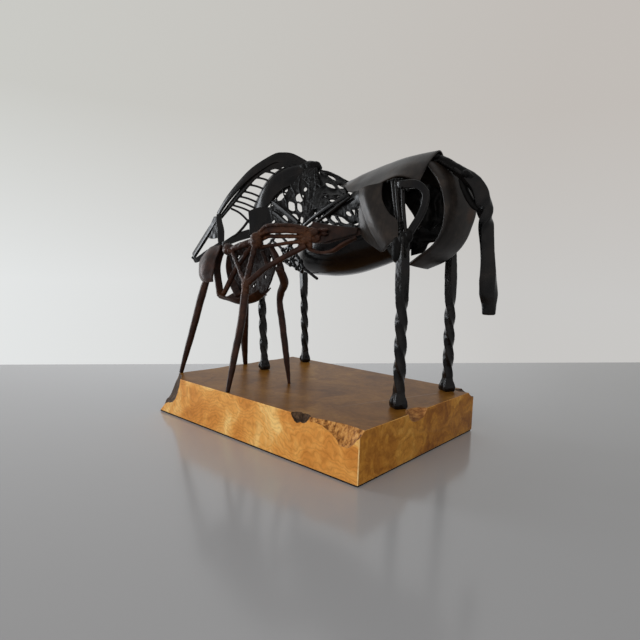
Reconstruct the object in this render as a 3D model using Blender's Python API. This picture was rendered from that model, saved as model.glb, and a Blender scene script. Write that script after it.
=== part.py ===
"""A welded steel mare with her nursing foal, on a burl-wood slab.

The mare faces -X, +Z is up, and the origin is the centre of the slab's underside.
Every length below is in millimetres; MM turns it into metres where a mesh is made.
The mare's near side is her left one, at low Y. Her right side repeats it, plainer, across her spine.
"""

import math

import bmesh
import bpy
from mathutils import Vector, noise

MM = 0.001
GAP = 0.3  # kept wherever two pieces meet

# Slab
SLAB_LENGTH = 355
SLAB_WIDTH = 254
SLAB_TOP = 54.5
FELT_THICKNESS = 1.5
FELT_INSET = 1.2
EDGE_SPACING = 11  # between points round the slab's edge
LEFT_END_SLOPE = 17  # how far the bark end leans in at the top
# Bites out of the top edge: place, half width, depth, how low it reaches, and the way in.
BITES = (
    ((98, -127), 12, 9, 42, (0, 1)),
    ((147, -127), 22, 8, 36, (0, 1)),
    ((168, -127), 13, 8, 36, (0, 1)),
    ((178, -19), 18, 11, 43, (-1, 0)),
    ((178, 127), 30, 11, 38, (-0.7, -0.7)),
    ((-178, -127), 42, 17, 8, (0.8, 0.6)),
)

# Mare
HIND_BAR = 11  # side of the square bar in a hind leg
FORE_BAR = 10
HOOF_HEIGHT = 15
HOOF_RADIUS = 10
TWIST_BOTTOM, TWIST_TOP = 76, 172
TWIST_DEGREES = 330
HIND_LEG_TOP = 252
FORE_LEG_TOP = 262
HIND_LEFT, HIND_RIGHT = (155, -25), (152, 99)
FORE_LEFT, FORE_RIGHT = (-105, 8), (-112, 106)
CROUP_X, CROUP_Y = 155, 40
SPINE_SKEW = 0.06  # the withers lie this much further over per mm forward of the croup
PLATE = 1.8  # thickness of sheet steel
LATTICE_SIDES = 4  # of each thin brazed rod

# Foal
FOAL_BAR = 5.5
FOAL_PLATE = 1.8

BLACK_STEEL = ("black_steel", (0.035, 0.033, 0.035, 1), 0.9, 0.38)
BROWN_STEEL = ("brown_steel", (0.10, 0.045, 0.032, 1), 0.75, 0.5)
BURL_WOOD = ("burl_wood", (0.55, 0.33, 0.13, 1), 0.0, 0.35)
BLACK_FELT = ("black_felt", (0.02, 0.02, 0.02, 1), 0.0, 0.95)


# ---------------------------------------------------------------- tools

def clear_scene():
    for obj in list(bpy.data.objects):
        bpy.data.objects.remove(obj, do_unlink=True)


def material(finish):
    name, colour, metallic, roughness = finish
    mat = bpy.data.materials.get(name)
    if mat is None:
        mat = bpy.data.materials.new(name)
        mat.use_nodes = True
        shader = mat.node_tree.nodes["Principled BSDF"]
        shader.inputs["Base Color"].default_value = colour
        shader.inputs["Metallic"].default_value = metallic
        shader.inputs["Roughness"].default_value = roughness
        mat.diffuse_color = colour
    return mat


def piece(name, points, faces, finish):
    """An object from points in millimetres, its faces turned outwards."""
    mesh = bpy.data.meshes.new(name)
    mesh.from_pydata([Vector(p) * MM for p in points], [], faces)
    form = bmesh.new()
    form.from_mesh(mesh)
    bmesh.ops.recalc_face_normals(form, faces=form.faces)
    form.to_mesh(mesh)
    form.free()
    mesh.materials.append(material(finish))
    obj = bpy.data.objects.new(name, mesh)
    bpy.context.scene.collection.objects.link(obj)
    return obj


def loft(name, rings, finish):
    """A closed skin over rings of equal length, flat at both ends."""
    size = len(rings[0])
    points = [p for ring in rings for p in ring]
    faces = []
    for low in range(len(rings) - 1):
        start, above = low * size, (low + 1) * size
        for i in range(size):
            j = (i + 1) % size
            faces.append((start + i, start + j, above + j, above + i))
    faces.append(tuple(reversed(range(size))))
    faces.append(tuple(range(len(points) - size, len(points))))
    return piece(name, points, faces, finish)


def smooth_path(points, steps):
    """Points along a curve through the given ones (Catmull-Rom)."""
    if steps < 2:
        return [Vector(p) for p in points]
    known = [Vector(p) for p in points]
    known = [2 * known[0] - known[1]] + known + [2 * known[-1] - known[-2]]
    path = []
    for i in range(1, len(known) - 2):
        a, b, c, d = known[i - 1:i + 3]
        for step in range(steps):
            t = step / steps
            path.append(0.5 * (2 * b + (c - a) * t + (2 * a - 5 * b + 4 * c - d) * t ** 2
                               + (3 * b - a - 3 * c + d) * t ** 3))
    path.append(known[-2])
    return path


def spread(values, count):
    """The given values, shared out evenly over count stations."""
    if len(values) == 1:
        return [values[0]] * count
    found = []
    for i in range(count):
        place = i / (count - 1) * (len(values) - 1)
        low = min(int(place), len(values) - 2)
        found.append(values[low] + (values[low + 1] - values[low]) * (place - low))
    return found


def tangents(path):
    return [(path[min(i + 1, len(path) - 1)] - path[max(i - 1, 0)]).normalized() for i in range(len(path))]


def rod(name, points, diameters, finish, sides=6, steps=1):
    """A round bar along a path, its diameter shared out over the path."""
    path = smooth_path(points, steps)
    ways = tangents(path)
    side = ways[0].orthogonal().normalized()
    rings = []
    for centre, way, diameter in zip(path, ways, spread(diameters, len(path))):
        side = (side - way * side.dot(way)).normalized()
        other = way.cross(side)
        turns = [2 * math.pi * k / sides for k in range(sides)]
        rings.append([centre + (side * math.cos(a) + other * math.sin(a)) * diameter / 2 for a in turns])
    return loft(name, rings, finish)


def ribbon(name, points, across, widths, thickness, finish, steps=1, camber=0.0):
    """A flat bar along a path. across points along its width; camber bows its face."""
    path = smooth_path(points, steps)
    ways = tangents(path)
    fans = smooth_path(across, steps) if len(across) == len(points) else [Vector(across[0])] * len(path)
    rings = []
    for centre, way, fan, width in zip(path, ways, fans, spread(widths, len(path))):
        fan = (fan - way * fan.dot(way)).normalized()
        up = way.cross(fan)
        half, skin = fan * width / 2, up * thickness / 2
        bow = up * camber
        rings.append([centre + half + skin, centre + bow + skin, centre - half + skin,
                      centre - half - skin, centre + bow - skin, centre + half - skin])
    return loft(name, rings, finish)


def sheet(name, rows, thickness, finish):
    """A plate over a grid of points, thickened evenly about them."""
    across = len(rows[0])
    points = [p for row in rows for p in row]
    faces = []
    for i in range(len(rows) - 1):
        for j in range(across - 1):
            corner = i * across + j
            faces.append((corner, corner + 1, corner + across + 1, corner + across))
    obj = piece(name, points, faces, finish)
    wall = obj.modifiers.new("wall", "SOLIDIFY")
    wall.thickness = thickness * MM
    wall.offset = 0
    wall.use_even_offset = True
    return bake(obj)


def lump(name, centre, radii, finish, roughness=0.12):
    """A bead of built-up weld."""
    form = bmesh.new()
    bmesh.ops.create_icosphere(form, subdivisions=2, radius=1)
    points = []
    for vert in form.verts:
        swell = 1 + roughness * noise.noise(vert.co * 2.3 + Vector(centre) * 0.1)
        points.append(Vector(centre) + Vector([vert.co[k] * radii[k] * swell for k in range(3)]))
    faces = [tuple(v.index for v in face.verts) for face in form.faces]
    form.free()
    return piece(name, points, faces, finish)


def bake(obj):
    """The object with its modifiers applied."""
    graph = bpy.context.evaluated_depsgraph_get()
    mesh = bpy.data.meshes.new_from_object(obj.evaluated_get(graph))
    obj.modifiers.clear()
    obj.data = mesh
    return obj


def combine(obj, other, operation):
    step = obj.modifiers.new(operation.lower(), "BOOLEAN")
    step.operation = operation
    step.solver = "EXACT"
    step.object = other
    bake(obj)


def weld(name, bars):
    """Bars that really touch, joined in one piece."""
    joined = bars[0]
    for bar in bars[1:]:
        combine(joined, bar, "UNION")
        bpy.data.objects.remove(bar)
    joined.name = name
    return joined


def boxes_meet(a, b, margin):
    def span(obj, axis):
        values = [v.co[axis] for v in obj.data.vertices]
        return min(values) - margin, max(values) + margin
    for axis in range(3):
        low_a, high_a = span(a, axis)
        low_b, high_b = span(b, axis)
        if high_a < low_b or high_b < low_a:
            return False
    return True


def swollen(obj):
    """A copy grown by the gap, to cut a neighbour's end with."""
    cutter = obj.copy()
    cutter.data = obj.data.copy()
    bpy.context.scene.collection.objects.link(cutter)
    form = bmesh.new()
    form.from_mesh(cutter.data)
    bmesh.ops.triangulate(form, faces=form.faces)
    form.normal_update()
    grown = [v.co + v.normal * min(v.calc_shell_factor(), 3) * GAP * MM for v in form.verts]
    for vert, place in zip(form.verts, grown):
        vert.co = place
    form.to_mesh(cutter.data)
    form.free()
    cutter.hide_render = True
    cutter.display_type = "WIRE"
    return cutter


def keep_largest(obj):
    """Drops the offcut that is left past a neighbour."""
    form = bmesh.new()
    form.from_mesh(obj.data)
    bodies, left = [], set(form.verts)
    while left:
        body, rim = set(), [left.pop()]
        while rim:
            vert = rim.pop()
            body.add(vert)
            for edge in vert.link_edges:
                other = edge.other_vert(vert)
                if other in left:
                    left.discard(other)
                    rim.append(other)
        bodies.append(body)

    def extent(body):
        return sum(max(v.co[k] for v in body) - min(v.co[k] for v in body) for k in range(3))
    bodies.sort(key=extent)
    for body in bodies[:-1]:
        bmesh.ops.delete(form, geom=list(body), context="VERTS")
    form.to_mesh(obj.data)
    form.free()


def fit_together(pieces):
    """Copes each piece to the ones made before it, with the gap between them."""
    for later, obj in enumerate(pieces):
        for neighbour in pieces[:later]:
            if not boxes_meet(obj, neighbour, GAP * MM):
                continue
            cutter = swollen(neighbour)
            combine(obj, cutter, "DIFFERENCE")
            bpy.data.objects.remove(cutter)
            keep_largest(obj)


# ---------------------------------------------------------------- slab

def left_end(y, rise):
    """x of the slab's bark end, at a height from 0 at the bottom to 1 at the top."""
    ripple = 3 * noise.noise(Vector((y * 0.03, rise * 1.5, 0)))
    lean = LEFT_END_SLOPE * rise ** 1.4
    return -SLAB_LENGTH / 2 + lean + ripple * rise


def slab_edge(x, y, z):
    """A point of the slab's outline, moved in where its natural edge has gone."""
    rise = z / SLAB_TOP
    left = left_end(y, rise)
    place = Vector((left + (x + SLAB_LENGTH / 2) * (SLAB_LENGTH / 2 - left) / SLAB_LENGTH, y, z))
    for (bite_x, bite_y), reach, depth, lowest, way in BITES:
        near = max(0.0, 1 - math.hypot(x - bite_x, y - bite_y) / reach)
        high = max(0.0, (z - lowest) / (SLAB_TOP - lowest))
        place += Vector((*way, 0)) * depth * math.sin(near * math.pi / 2) * high
    return place


def outline(inset=0.0):
    """Points round the slab's plan, with small rounded corners."""
    half_x, half_y = SLAB_LENGTH / 2 - inset, SLAB_WIDTH / 2 - inset
    corners = [(-half_x, -half_y), (half_x, -half_y), (half_x, half_y), (-half_x, half_y)]
    round_off = (2, 3, 3, 14)
    points = []
    for i, corner in enumerate(corners):
        after = corners[(i + 1) % 4]
        start, end = Vector(corner), Vector(after)
        way = (end - start).normalized()
        start += way * round_off[i]
        end -= way * round_off[(i + 1) % 4]
        count = round((end - start).length / EDGE_SPACING)
        points += [start.lerp(end, k / count) for k in range(count + 1)]
    return points


def make_slab():
    heights = (FELT_THICKNESS + GAP, 14, 27, 36, 45, SLAB_TOP)
    rings = [[slab_edge(p.x, p.y, z) for p in outline()] for z in heights]
    felt_rings = [[(p.x, p.y, z) for p in outline(FELT_INSET)] for z in (0, FELT_THICKNESS)]
    felt = loft("base_felt", felt_rings, BLACK_FELT)
    return [felt, loft("base_slab", rings, BURL_WOOD)]


# ---------------------------------------------------------------- mare

def spine_y(x):
    return CROUP_Y + SPINE_SKEW * (CROUP_X - x)


def mirrored(points):
    """The same points on the mare's right side."""
    return [(x, 2 * spine_y(x) - y, z) for x, y, z in points]


def square_ring(centre, half, degrees, corner=0.16):
    """A square section with its corners taken off."""
    turn = math.radians(degrees)
    ring = []
    for k in range(4):
        for lean in (-corner, corner):
            angle = turn + k * math.pi / 2 + math.pi / 4 + lean
            ring.append(Vector(centre) + Vector((math.cos(angle), math.sin(angle), 0)) * half * 1.34)
    return ring


def twisted_leg(name, foot, top_shift, bar, top, bow):
    """A square bar, twisted below, on an upset hoof. It is drawn down where it meets the body."""
    def axis(z):
        share = ((z - SLAB_TOP) / (top - SLAB_TOP)) ** bow
        return (foot[0] + top_shift[0] * share, foot[1] + top_shift[1] * share, z)
    sole = SLAB_TOP + GAP
    rings = []
    for height, radius in ((0, HOOF_RADIUS * 0.92), (2, HOOF_RADIUS), (6, HOOF_RADIUS * 0.9),
                           (HOOF_HEIGHT, bar * 0.62)):
        centre = Vector(axis(sole + height))
        turns = [math.pi / 4 + k * math.pi / 4 + math.pi / 8 for k in range(8)]
        rings.append([centre + Vector((math.cos(a), math.sin(a), 0)) * radius for a in turns])
    stations = 16
    for k in range(stations + 1):
        z = TWIST_BOTTOM + (TWIST_TOP - TWIST_BOTTOM) * k / stations
        rings.append(square_ring(axis(z), bar / 2, TWIST_DEGREES * (k / stations - 1)))
    rings.append(square_ring(axis(top - 26), bar / 2, 0))
    rings.append(square_ring(axis(top - 12), bar / 2.2, 0))
    rings.append(square_ring(axis(top), bar / 3.6, 0))
    return loft(name, rings, BLACK_STEEL)


def make_legs():
    return [
        twisted_leg("mare_leg_hind_left", HIND_LEFT, (-5, 0), HIND_BAR, HIND_LEG_TOP, 1.6),
        twisted_leg("mare_leg_hind_right", HIND_RIGHT, (-6, 0), HIND_BAR, HIND_LEG_TOP, 1.6),
        twisted_leg("mare_leg_fore_left", FORE_LEFT, (-27, 6), FORE_BAR, FORE_LEG_TOP, 1.0),
        twisted_leg("mare_leg_fore_right", FORE_RIGHT, (-10, -4), FORE_BAR, FORE_LEG_TOP, 1.0),
    ]


def make_back():
    """One sheet folded down the spine, with a flap bent down over each haunch."""
    ridge = [(8, 49, 328), (60, 46, 340), (110, 43, 349), (155, 40, 351)]
    edge = [(52, 5, 303), (88, 1, 311), (124, 0, 319), (153, 2, 311)]
    rows = []
    for top, low in zip(ridge, edge):
        near = Vector(top).lerp(Vector(low), 0.5) + Vector((0, -2.5, 3))
        far_low = Vector(mirrored([low])[0])
        far = Vector(top).lerp(far_low, 0.5) + Vector((0, 2.5, 3))
        rows.append([low, near, top, far, far_low])
    return sheet("mare_back_plate", rows, PLATE, BLACK_STEEL)


def flank_rows():
    front = [(79, -12, 303), (87, -20, 290), (95, -25, 275), (103, -27, 260), (115, -27, 244), (125, -24, 232)]
    rear = [(109, -12, 307), (115, -20, 292), (124, -25, 279), (135, -27, 267), (143, -26, 254), (146, -24, 243)]
    rows = []
    for low, high in zip(front, rear):
        middle = Vector(low).lerp(Vector(high), 0.45) + Vector((0, -4, 0))
        rows.append([low, tuple(middle), high])
    return rows


def make_flanks():
    outer = flank_rows()
    inner = []
    for k, row in enumerate(outer):
        inner.append([(x - 10 + k * 0.4, y + 6 + (1 if k < 2 else 0), z - 3) for x, y, z in row])
    right = [mirrored(row) for row in outer]
    return [
        sheet("mare_flank_plate_left", outer, PLATE, BLACK_STEEL),
        sheet("mare_flank_plate_left_inner", inner, PLATE, BLACK_STEEL),
        sheet("mare_flank_plate_right", right, PLATE, BLACK_STEEL),
    ]


def make_belly():
    """A trough of curved sheet, deepest behind the forelegs."""
    stations = [(-46, 207, 40), (-24, 203, 44), (4, 202, 46), (34, 206, 46), (66, 214, 44), (102, 225, 40)]
    rows = []
    for x, lowest, half in stations:
        row = []
        for step in range(9):
            angle = math.radians(-92 + 23 * step)
            lean = 14 * (1 - math.cos(angle)) * (1 if x < 0 else 0)
            row.append((x + lean, spine_y(x) + half * math.sin(angle), lowest + 46 * (1 - math.cos(angle))))
        rows.append(row)
    return sheet("mare_belly_plate", rows, PLATE, BLACK_STEEL)


def make_rump():
    centre = [(158, 41, 332), (171, 41, 312), (178, 41, 290), (180, 41, 268), (172, 41, 246), (152, 40, 227),
              (134, 26, 215)]
    across = [(0, 1, 0), (0.05, 1, 0), (0.1, 1, 0), (0.12, 1, 0), (0.1, 1, 0), (0.1, 1, 0.1), (0.3, 1, 0.1)]
    band = ribbon("mare_rump_band", centre, across, (44, 43, 43, 43, 43, 36, 10), 2.2, BLACK_STEEL, 2)
    scraps = sheet("mare_rump_scrap", [
        [(150, 8, 288), (158, 22, 294), (163, 36, 286)],
        [(152, 10, 272), (163, 24, 276), (168, 38, 268)],
        [(150, 6, 256), (157, 22, 262), (166, 36, 252)],
        [(143, 2, 244), (150, 18, 240), (158, 34, 238)],
    ], 2, BLACK_STEEL)
    return [band, scraps]


LOOP_PATH = [(136, -9, 308), (150, -11, 307), (161, -12, 303), (168, -13, 297), (170, -14, 289), (169, -16, 277),
             (165, -19, 262), (160, -21, 250), (157, -22, 242)]


def make_haunches():
    loops = []
    for side, path in (("left", LOOP_PATH), ("right", mirrored(LOOP_PATH))):
        flat = [(0, 0, 1), (0.1, 0, 1), (0.6, 0, 1), (1, 0, 0.4), (1, 0, 0), (1, 0, 0), (1, 0, 0.1), (1, 0, 0.1),
                (1, 0, 0.1)]
        loops.append(ribbon(f"mare_haunch_loop_{side}", path, flat, (7,), 3.6, BLACK_STEEL))
    bars = []
    tops = [(122, -5, 311), (130, -7, 310), (139, -9, 303)]
    feet = [(145, -20, 256), (149, -21, 252), (154, -22, 244)]
    for number, (top, low) in enumerate(zip(tops, feet), 1):
        bars.append(rod(f"mare_thigh_bar_left_{number}", [top, low], (4.6,), BLACK_STEEL))
    return loops + bars


def make_tail():
    root = rod("mare_tail_root", [(158, 40, 345), (175, 40, 333), (190, 40, 319)], (8, 8.5, 9), BLACK_STEEL)
    path = [(180, 40, 336), (196, 40, 322), (208, 40, 302), (215, 40, 280), (218, 40, 262), (220, 40, 240),
            (222, 40, 208), (225, 40, 180), (227, 40, 162)]
    turn = [-30, -30, -20, 20, 100, 150, 160, 165, 170]
    across = [(math.sin(math.radians(a)) + 0.4, math.cos(math.radians(a)), 0) for a in turn]
    strip = ribbon("mare_tail", path, across, (9, 13, 15, 15, 14, 16, 17, 16, 14), 4, BLACK_STEEL, 2)
    return [strip, root]


# Places along the neck, from the withers to the poll.
MANE_PATH = [(-56, 46, 364), (-74, 41, 370), (-88, 37, 377), (-103, 32, 379), (-119, 27, 376), (-152, 18, 358),
             (-176, 12, 339), (-199, 6, 317), (-218, 1, 294)]
CREST_PATH = [(-60, 44, 364), (-80, 38, 367), (-104, 32, 366), (-128, 25, 361), (-149, 20, 350), (-163, 16, 337),
              (-182, 11, 319), (-198, 7, 303), (-213, 3, 288)]
NECK_PATH = [(-58, 45, 354), (-80, 39, 353), (-105, 32, 347), (-124, 27, 336), (-137, 24, 320), (-147, 21, 304),
             (-153, 19, 290)]
NECK_SIDE = Vector((0.25, 0.93, 0.1))  # square to the plane that the neck bends in


def make_neck():
    across = []
    for path in (MANE_PATH, CREST_PATH, NECK_PATH):
        ways = tangents([Vector(p) for p in path])
        across.append([tuple(way.cross(NECK_SIDE)) for way in ways])
    mane = ribbon("mare_mane_strip", MANE_PATH, across[0], (7, 10, 11, 11, 10, 8, 7, 6, 4), 2.4, BLACK_STEEL)
    crest = ribbon("crest", CREST_PATH, across[1], (5, 7, 8, 8, 8, 8, 8, 7, 5), 2.6, BLACK_STEEL)
    neck = ribbon("mare_neck_strip", NECK_PATH, across[2], (16, 23, 26, 28, 27, 24, 20), 2.2, BLACK_STEEL, 1, 4)
    comb = [crest]
    inner = smooth_path(NECK_PATH, 4)
    outer = smooth_path(CREST_PATH, 4)
    ribs = 9
    for k in range(ribs):
        start = outer[round(5 + k * 21 / (ribs - 1))]
        end = inner[round(3 + k * 20 / (ribs - 1))]
        comb.append(rod("rib", [start, end], (2.2,), BLACK_STEEL, LATTICE_SIDES))
    return [mane, neck, weld("mare_crest_comb", comb)]


def make_head():
    poll, muzzle = (-219, -2, 293), (-283, -5, 224)
    chest = sheet("mare_chest_plate", [
        [(-160, 15, 297), (-134, 22, 303), (-111, 29, 301)],
        [(-158, 16, 278), (-134, 22, 280), (-119, 27, 281)],
        [(-157, 16, 259), (-145, 20, 263), (-134, 22, 267)],
    ], PLATE, BLACK_STEEL)
    face = ribbon("mare_face_bar", [poll, (-251, -4, 259), muzzle], [(-0.7, 0.3, 0.65)], (8, 7.5, 7), 4.5,
                  BLACK_STEEL)
    jaw = ribbon("mare_jaw_bar", [(-283, -5, 220), (-270, -5, 217), (-238, -5, 236), (-216, -5, 248)],
                 [(0.5, 0.3, -0.8)], (5, 6, 4.5, 4.5), 3.6, BLACK_STEEL)
    jowl = ribbon("mare_jowl_strip", [(-214, -3, 291), (-207, -4, 272), (-209, -4, 256), (-199, -4, 244)],
                  [(1, 0.3, 0.2)], (6, 8, 8, 6), 3, BLACK_STEEL, 2)
    cheek = sheet("mare_cheek_plate", [
        [(-217, -4, 275), (-213.5, -4, 267), (-213, -4, 257)],
        [(-222, -4, 268), (-221, -4, 262), (-219.5, -4, 256)],
        [(-229, -4, 260.5), (-228, -4, 258), (-227, -4, 255)],
    ], 2.4, BLACK_STEEL)
    throat_rod = rod("mare_throat_rod", [(-158, 14, 284), (-178, 6, 266), (-197, -2, 252)], (2.4,), BLACK_STEEL)
    throat_bar = ribbon("mare_throat_bar", [(-157, 13, 266), (-178, 5, 258), (-199, -3, 246)],
                        [(0.2, 0.2, 1)], (11, 8, 5), 3, BLACK_STEEL)
    return [face, jaw, jowl, cheek, chest, throat_bar, throat_rod]


def lattice(name, places, bars, diameter, right=False):
    """Brazed rods between named places, all joined where they meet."""
    if right:
        places = dict(zip(places, mirrored(places.values())))
    rods = []
    for bar in bars:
        start, end = (Vector(places[letter]) for letter in bar)
        past = (end - start).normalized() * diameter * 0.3
        rods.append(rod("bar", [start - past, end + past], (diameter,), BLACK_STEEL, LATTICE_SIDES))
    return weld(name, rods)


SHOULDER_PLACES = {
    "a": (-99, 29, 331), "b": (-83, 22, 319), "d": (-94, 20, 308), "e": (-66, 20, 319), "f": (-69, 18, 311),
    "g": (-74, 14, 299), "h": (-54, 14, 303), "i": (-50, 18, 319), "k": (-38, 14, 302), "l": (-49, 10, 291),
    "m": (-60, 9, 286), "o": (-35, 8, 284), "q": (-37, 6, 272), "r": (-111, 24, 312), "s": (-42, 7, 274),
}
SHOULDER_BARS = ("ab", "bd", "bf", "fe", "ei", "fh", "hk", "fg", "hl", "lm", "lo", "lq", "rs")

WITHERS_PLACES = {
    "a": (-43, 48, 355), "b": (-23, 46, 347), "c": (-4, 43, 337), "d": (10, 42, 327), "e": (-29, 38, 346),
    "f": (-15, 33, 337), "g": (5, 30, 328), "h": (-24, 29, 334), "i": (-9, 22, 326), "j": (17, 14, 315),
    "k": (34, 7, 306), "l": (-12, 18, 317), "m": (6, 10, 307), "n": (22, 5, 299),
}
WITHERS_BARS = ("ab", "bc", "cd", "ae", "ef", "fg", "gd", "bf", "eh", "hi", "ij", "gj", "jk", "hl", "lm", "im",
                "nk", "mn")

RIGHT_PLACES = {
    "a": (-97, 29, 331), "b": (-83, 22, 319), "c": (-56, 20, 319), "d": (-32, 28, 336), "e": (-9, 22, 326),
    "f": (17, 14, 315), "g": (34, 7, 306), "h": (-44, 46, 352), "i": (-69, 14, 299), "j": (-16, 18, 317),
    "k": (6, 10, 303), "l": (-44, 8, 276), "m": (-34, 36, 346), "n": (-111, 24, 312),
    "o": (-122, 14, 258),
}
RIGHT_BARS = ("ab", "bc", "cd", "hm", "md", "de", "ef", "fg", "dj", "jk", "kg", "bi", "il", "nl", "lk", "no", "ol")

RIB_PLACES = {
    "a": (3, 4, 290), "b": (10, 3, 280), "c": (28, 2, 267), "d": (44, 0, 256), "e": (2, 4, 275),
    "f": (18, 3, 258), "g": (33, 0, 281), "h": (48, -1, 265), "i": (57, -3, 281), "j": (72, -4, 268),
    "k": (62, -3, 263),
}
RIB_BARS = ("ab", "bc", "cd", "be", "ef", "gh", "hk", "ij", "gk", "kj", "ch", "fc")


def make_shoulders():
    knot = lump("mare_withers_knot", (-50, 49, 361), (16, 11, 7), BLACK_STEEL)
    blade = sheet("mare_shoulder_blade_left", [
        [(-66, 38, 351), (-52, 38, 350), (-37, 38, 347)],
        [(-52, 25, 326), (-38, 25, 325), (-22, 25, 324)],
        [(-40, 16, 305), (-22, 15, 306), (-4, 13, 307)],
        [(-36, 9, 284), (-20, 7, 288), (4, 7, 296)],
        [(-32, 5, 271), (-24, 4, 275), (-12, 4, 281)],
    ], 4, BLACK_STEEL)
    bar = ribbon("mare_shoulder_bar_left", [(-27, -1, 267), (12, -2, 288), (46, -3, 308)], [(-0.5, 0.1, 0.85)],
                 (4,), 3, BLACK_STEEL)
    second = rod("mare_shoulder_rod_left", [(-20, -1, 263), (20, -3, 282), (62, -4, 304)], (4,), BLACK_STEEL)
    gusset = sheet("mare_shoulder_gusset_left", [
        [(24, 2, 283), (46, 2, 299), (62, 1, 306)],
        [(34, 1, 280), (56, 0, 290), (74, -1, 299)],
        [(36, 0, 278), (60, -1, 284), (77, -3, 291)],
    ], PLATE, BLACK_STEEL)
    breast = lattice("mare_breast_rods_left", {
        "a": (-68, 6, 221), "b": (-30, 10, 209), "c": (-8, 15, 195), "d": (-56, 6, 242), "e": (-34, 6, 219),
        "f": (-118, 12, 240), "g": (-30, 7, 258),
    }, ("ab", "bc", "de", "eb", "ad", "fd", "dg"), 2.6)
    right_bar = mirrored([(-44, 8, 274), (8, -2, 288), (46, -3, 308)])
    return [
        knot, blade, bar, second, gusset,
        rod("mare_shoulder_rod_right", right_bar, (4.5,), BLACK_STEEL),
        lattice("mare_shoulder_lattice_left", SHOULDER_PLACES, SHOULDER_BARS, 3.4),
        lattice("mare_withers_lattice_left", WITHERS_PLACES, WITHERS_BARS, 2.8),
        lattice("mare_rib_lattice_left", RIB_PLACES, RIB_BARS, 2.4),
        breast,
        lattice("mare_shoulder_lattice_right", RIGHT_PLACES, RIGHT_BARS, 3.2, True),
        lattice("mare_rib_lattice_right", RIB_PLACES, ("ab", "bc", "cd", "gh", "hk", "kj", "ch"), 2.4, True),
    ]


# ---------------------------------------------------------------- foal

FOAL_WITHERS = (-37, -74, 244)
FOAL_ELBOW = (-25, -100, 184)
FOAL_HIP = (-88, -80, 231)
FOAL_LOIN = (-110, -72, 171)


def make_foal_legs():
    sole = SLAB_TOP + GAP
    return [
        rod("foal_leg_hind_left", [(-127, -86, 191), (-143, -95, 121), (-162, -102, sole)], (9.5, 8.5, 4), BROWN_STEEL, 8),
        rod("foal_leg_hind_right", [(-107, -46, 176), (-119, -26, 172), (-128, -15, 151), (-143, -2, 100),
                                    (-157, 13, sole)], (6, 9, 10, 8, 3), BROWN_STEEL, 8),
        rod("foal_leg_fore_left", [(-25, -100, 177), (-22, -108, 140), (-23, -117, 98), (-26, -124, sole)],
            (8, 7.5, 7, 4.5), BROWN_STEEL, 8),
        rod("foal_leg_fore_right", [(-3, -67, 208), (-4, -60, 202), (-8, -50, 189), (-18, -46, 177), (-23, -43, 163),
                                    (-21, -40, 140), (-16, -35, 92), (-12, -32, sole)],
            (7, 9, 10, 9, 8, 8, 7, 3.4), BROWN_STEEL, 8),
    ]


def make_foal_body():
    rump = sheet("foal_rump_plate", [
        [(-134, -62, 237), (-124, -68, 239), (-113, -73, 237)],
        [(-149, -74, 223), (-130, -82, 224), (-111, -82, 221)],
        [(-151, -80, 205), (-130, -89, 206), (-107, -87, 203)],
        [(-141, -84, 192), (-122, -91, 193), (-103, -90, 192)],
    ], FOAL_PLATE, BROWN_STEEL)
    frame = weld("foal_side_frame", [
        lump("hip", FOAL_HIP, (7, 6, 6), BROWN_STEEL),
        rod("back", [FOAL_HIP, FOAL_WITHERS], (8, 9), BROWN_STEEL, 6),
        lump("withers", FOAL_WITHERS, (7, 7, 9), BROWN_STEEL),
        rod("front", [FOAL_WITHERS, FOAL_ELBOW], (6, 7), BROWN_STEEL),
        lump("elbow", FOAL_ELBOW, (5, 5, 6), BROWN_STEEL),
        rod("rear", [FOAL_HIP, FOAL_ELBOW], (4.5, 6), BROWN_STEEL),
    ])
    brace = rod("foal_brace_bar", [FOAL_WITHERS, (-75, -70, 214), FOAL_LOIN], (5, 5.5, 6), BROWN_STEEL)
    shoulder = rod("foal_shoulder_bar", [FOAL_ELBOW, (2, -75, 217), (30, -48, 238)], (7.5, 6.5, 6.5), BROWN_STEEL)
    hoop = ribbon("foal_rear_hoop", [(-112, -66, 236), (-119, -68, 220), (-119, -70, 205), (-115, -71, 187),
                                     (-110, -72, 173)], [(0.3, 1, 0)], (8,), 2.4, BROWN_STEEL, 1)
    right_hoop = ribbon("foal_rear_hoop_right", [(-110, -66, 240), (-118, -54, 239), (-124, -42, 233), (-132, -40, 211), (-122, -42, 188),
                                                 (-100, -50, 170)], [(1, 0.4, 0.1)], (5, 7, 10, 11, 10, 8), 2.4, BROWN_STEEL, 2)
    belly = sheet("foal_belly_plate", [
        [(-114, -76, 166), (-113, -62, 168), (-110, -48, 172)],
        [(-96, -74, 164), (-95, -60, 163), (-94, -46, 167)],
        [(-78, -72, 162), (-77, -58, 160), (-76, -44, 164)],
        [(-58, -66, 166), (-57, -54, 165), (-56, -42, 168)],
        [(-46, -60, 173), (-45, -50, 172), (-44, -40, 173)],
    ], FOAL_PLATE, BROWN_STEEL)
    barrel = sheet("foal_barrel_plate_right", [
        [(-84, -44, 236), (-60, -44, 240), (-38, -46, 234)],
        [(-84, -34, 214), (-60, -33, 216), (-36, -36, 210)],
        [(-80, -36, 192), (-60, -35, 192), (-39, -38, 190)],
        [(-72, -41, 172), (-60, -40, 171), (-46, -40, 176)],
    ], FOAL_PLATE, BROWN_STEEL)
    girth = ribbon("foal_girth_strip", [(-34, -56, 222), (-35, -48, 207), (-39, -47, 191), (-47, -50, 178)],
                   [(0.3, 1, 0)], (7,), 3, BROWN_STEEL, 2)
    return [frame, rump, belly, barrel, shoulder, brace, hoop, right_hoop, girth]


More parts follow.
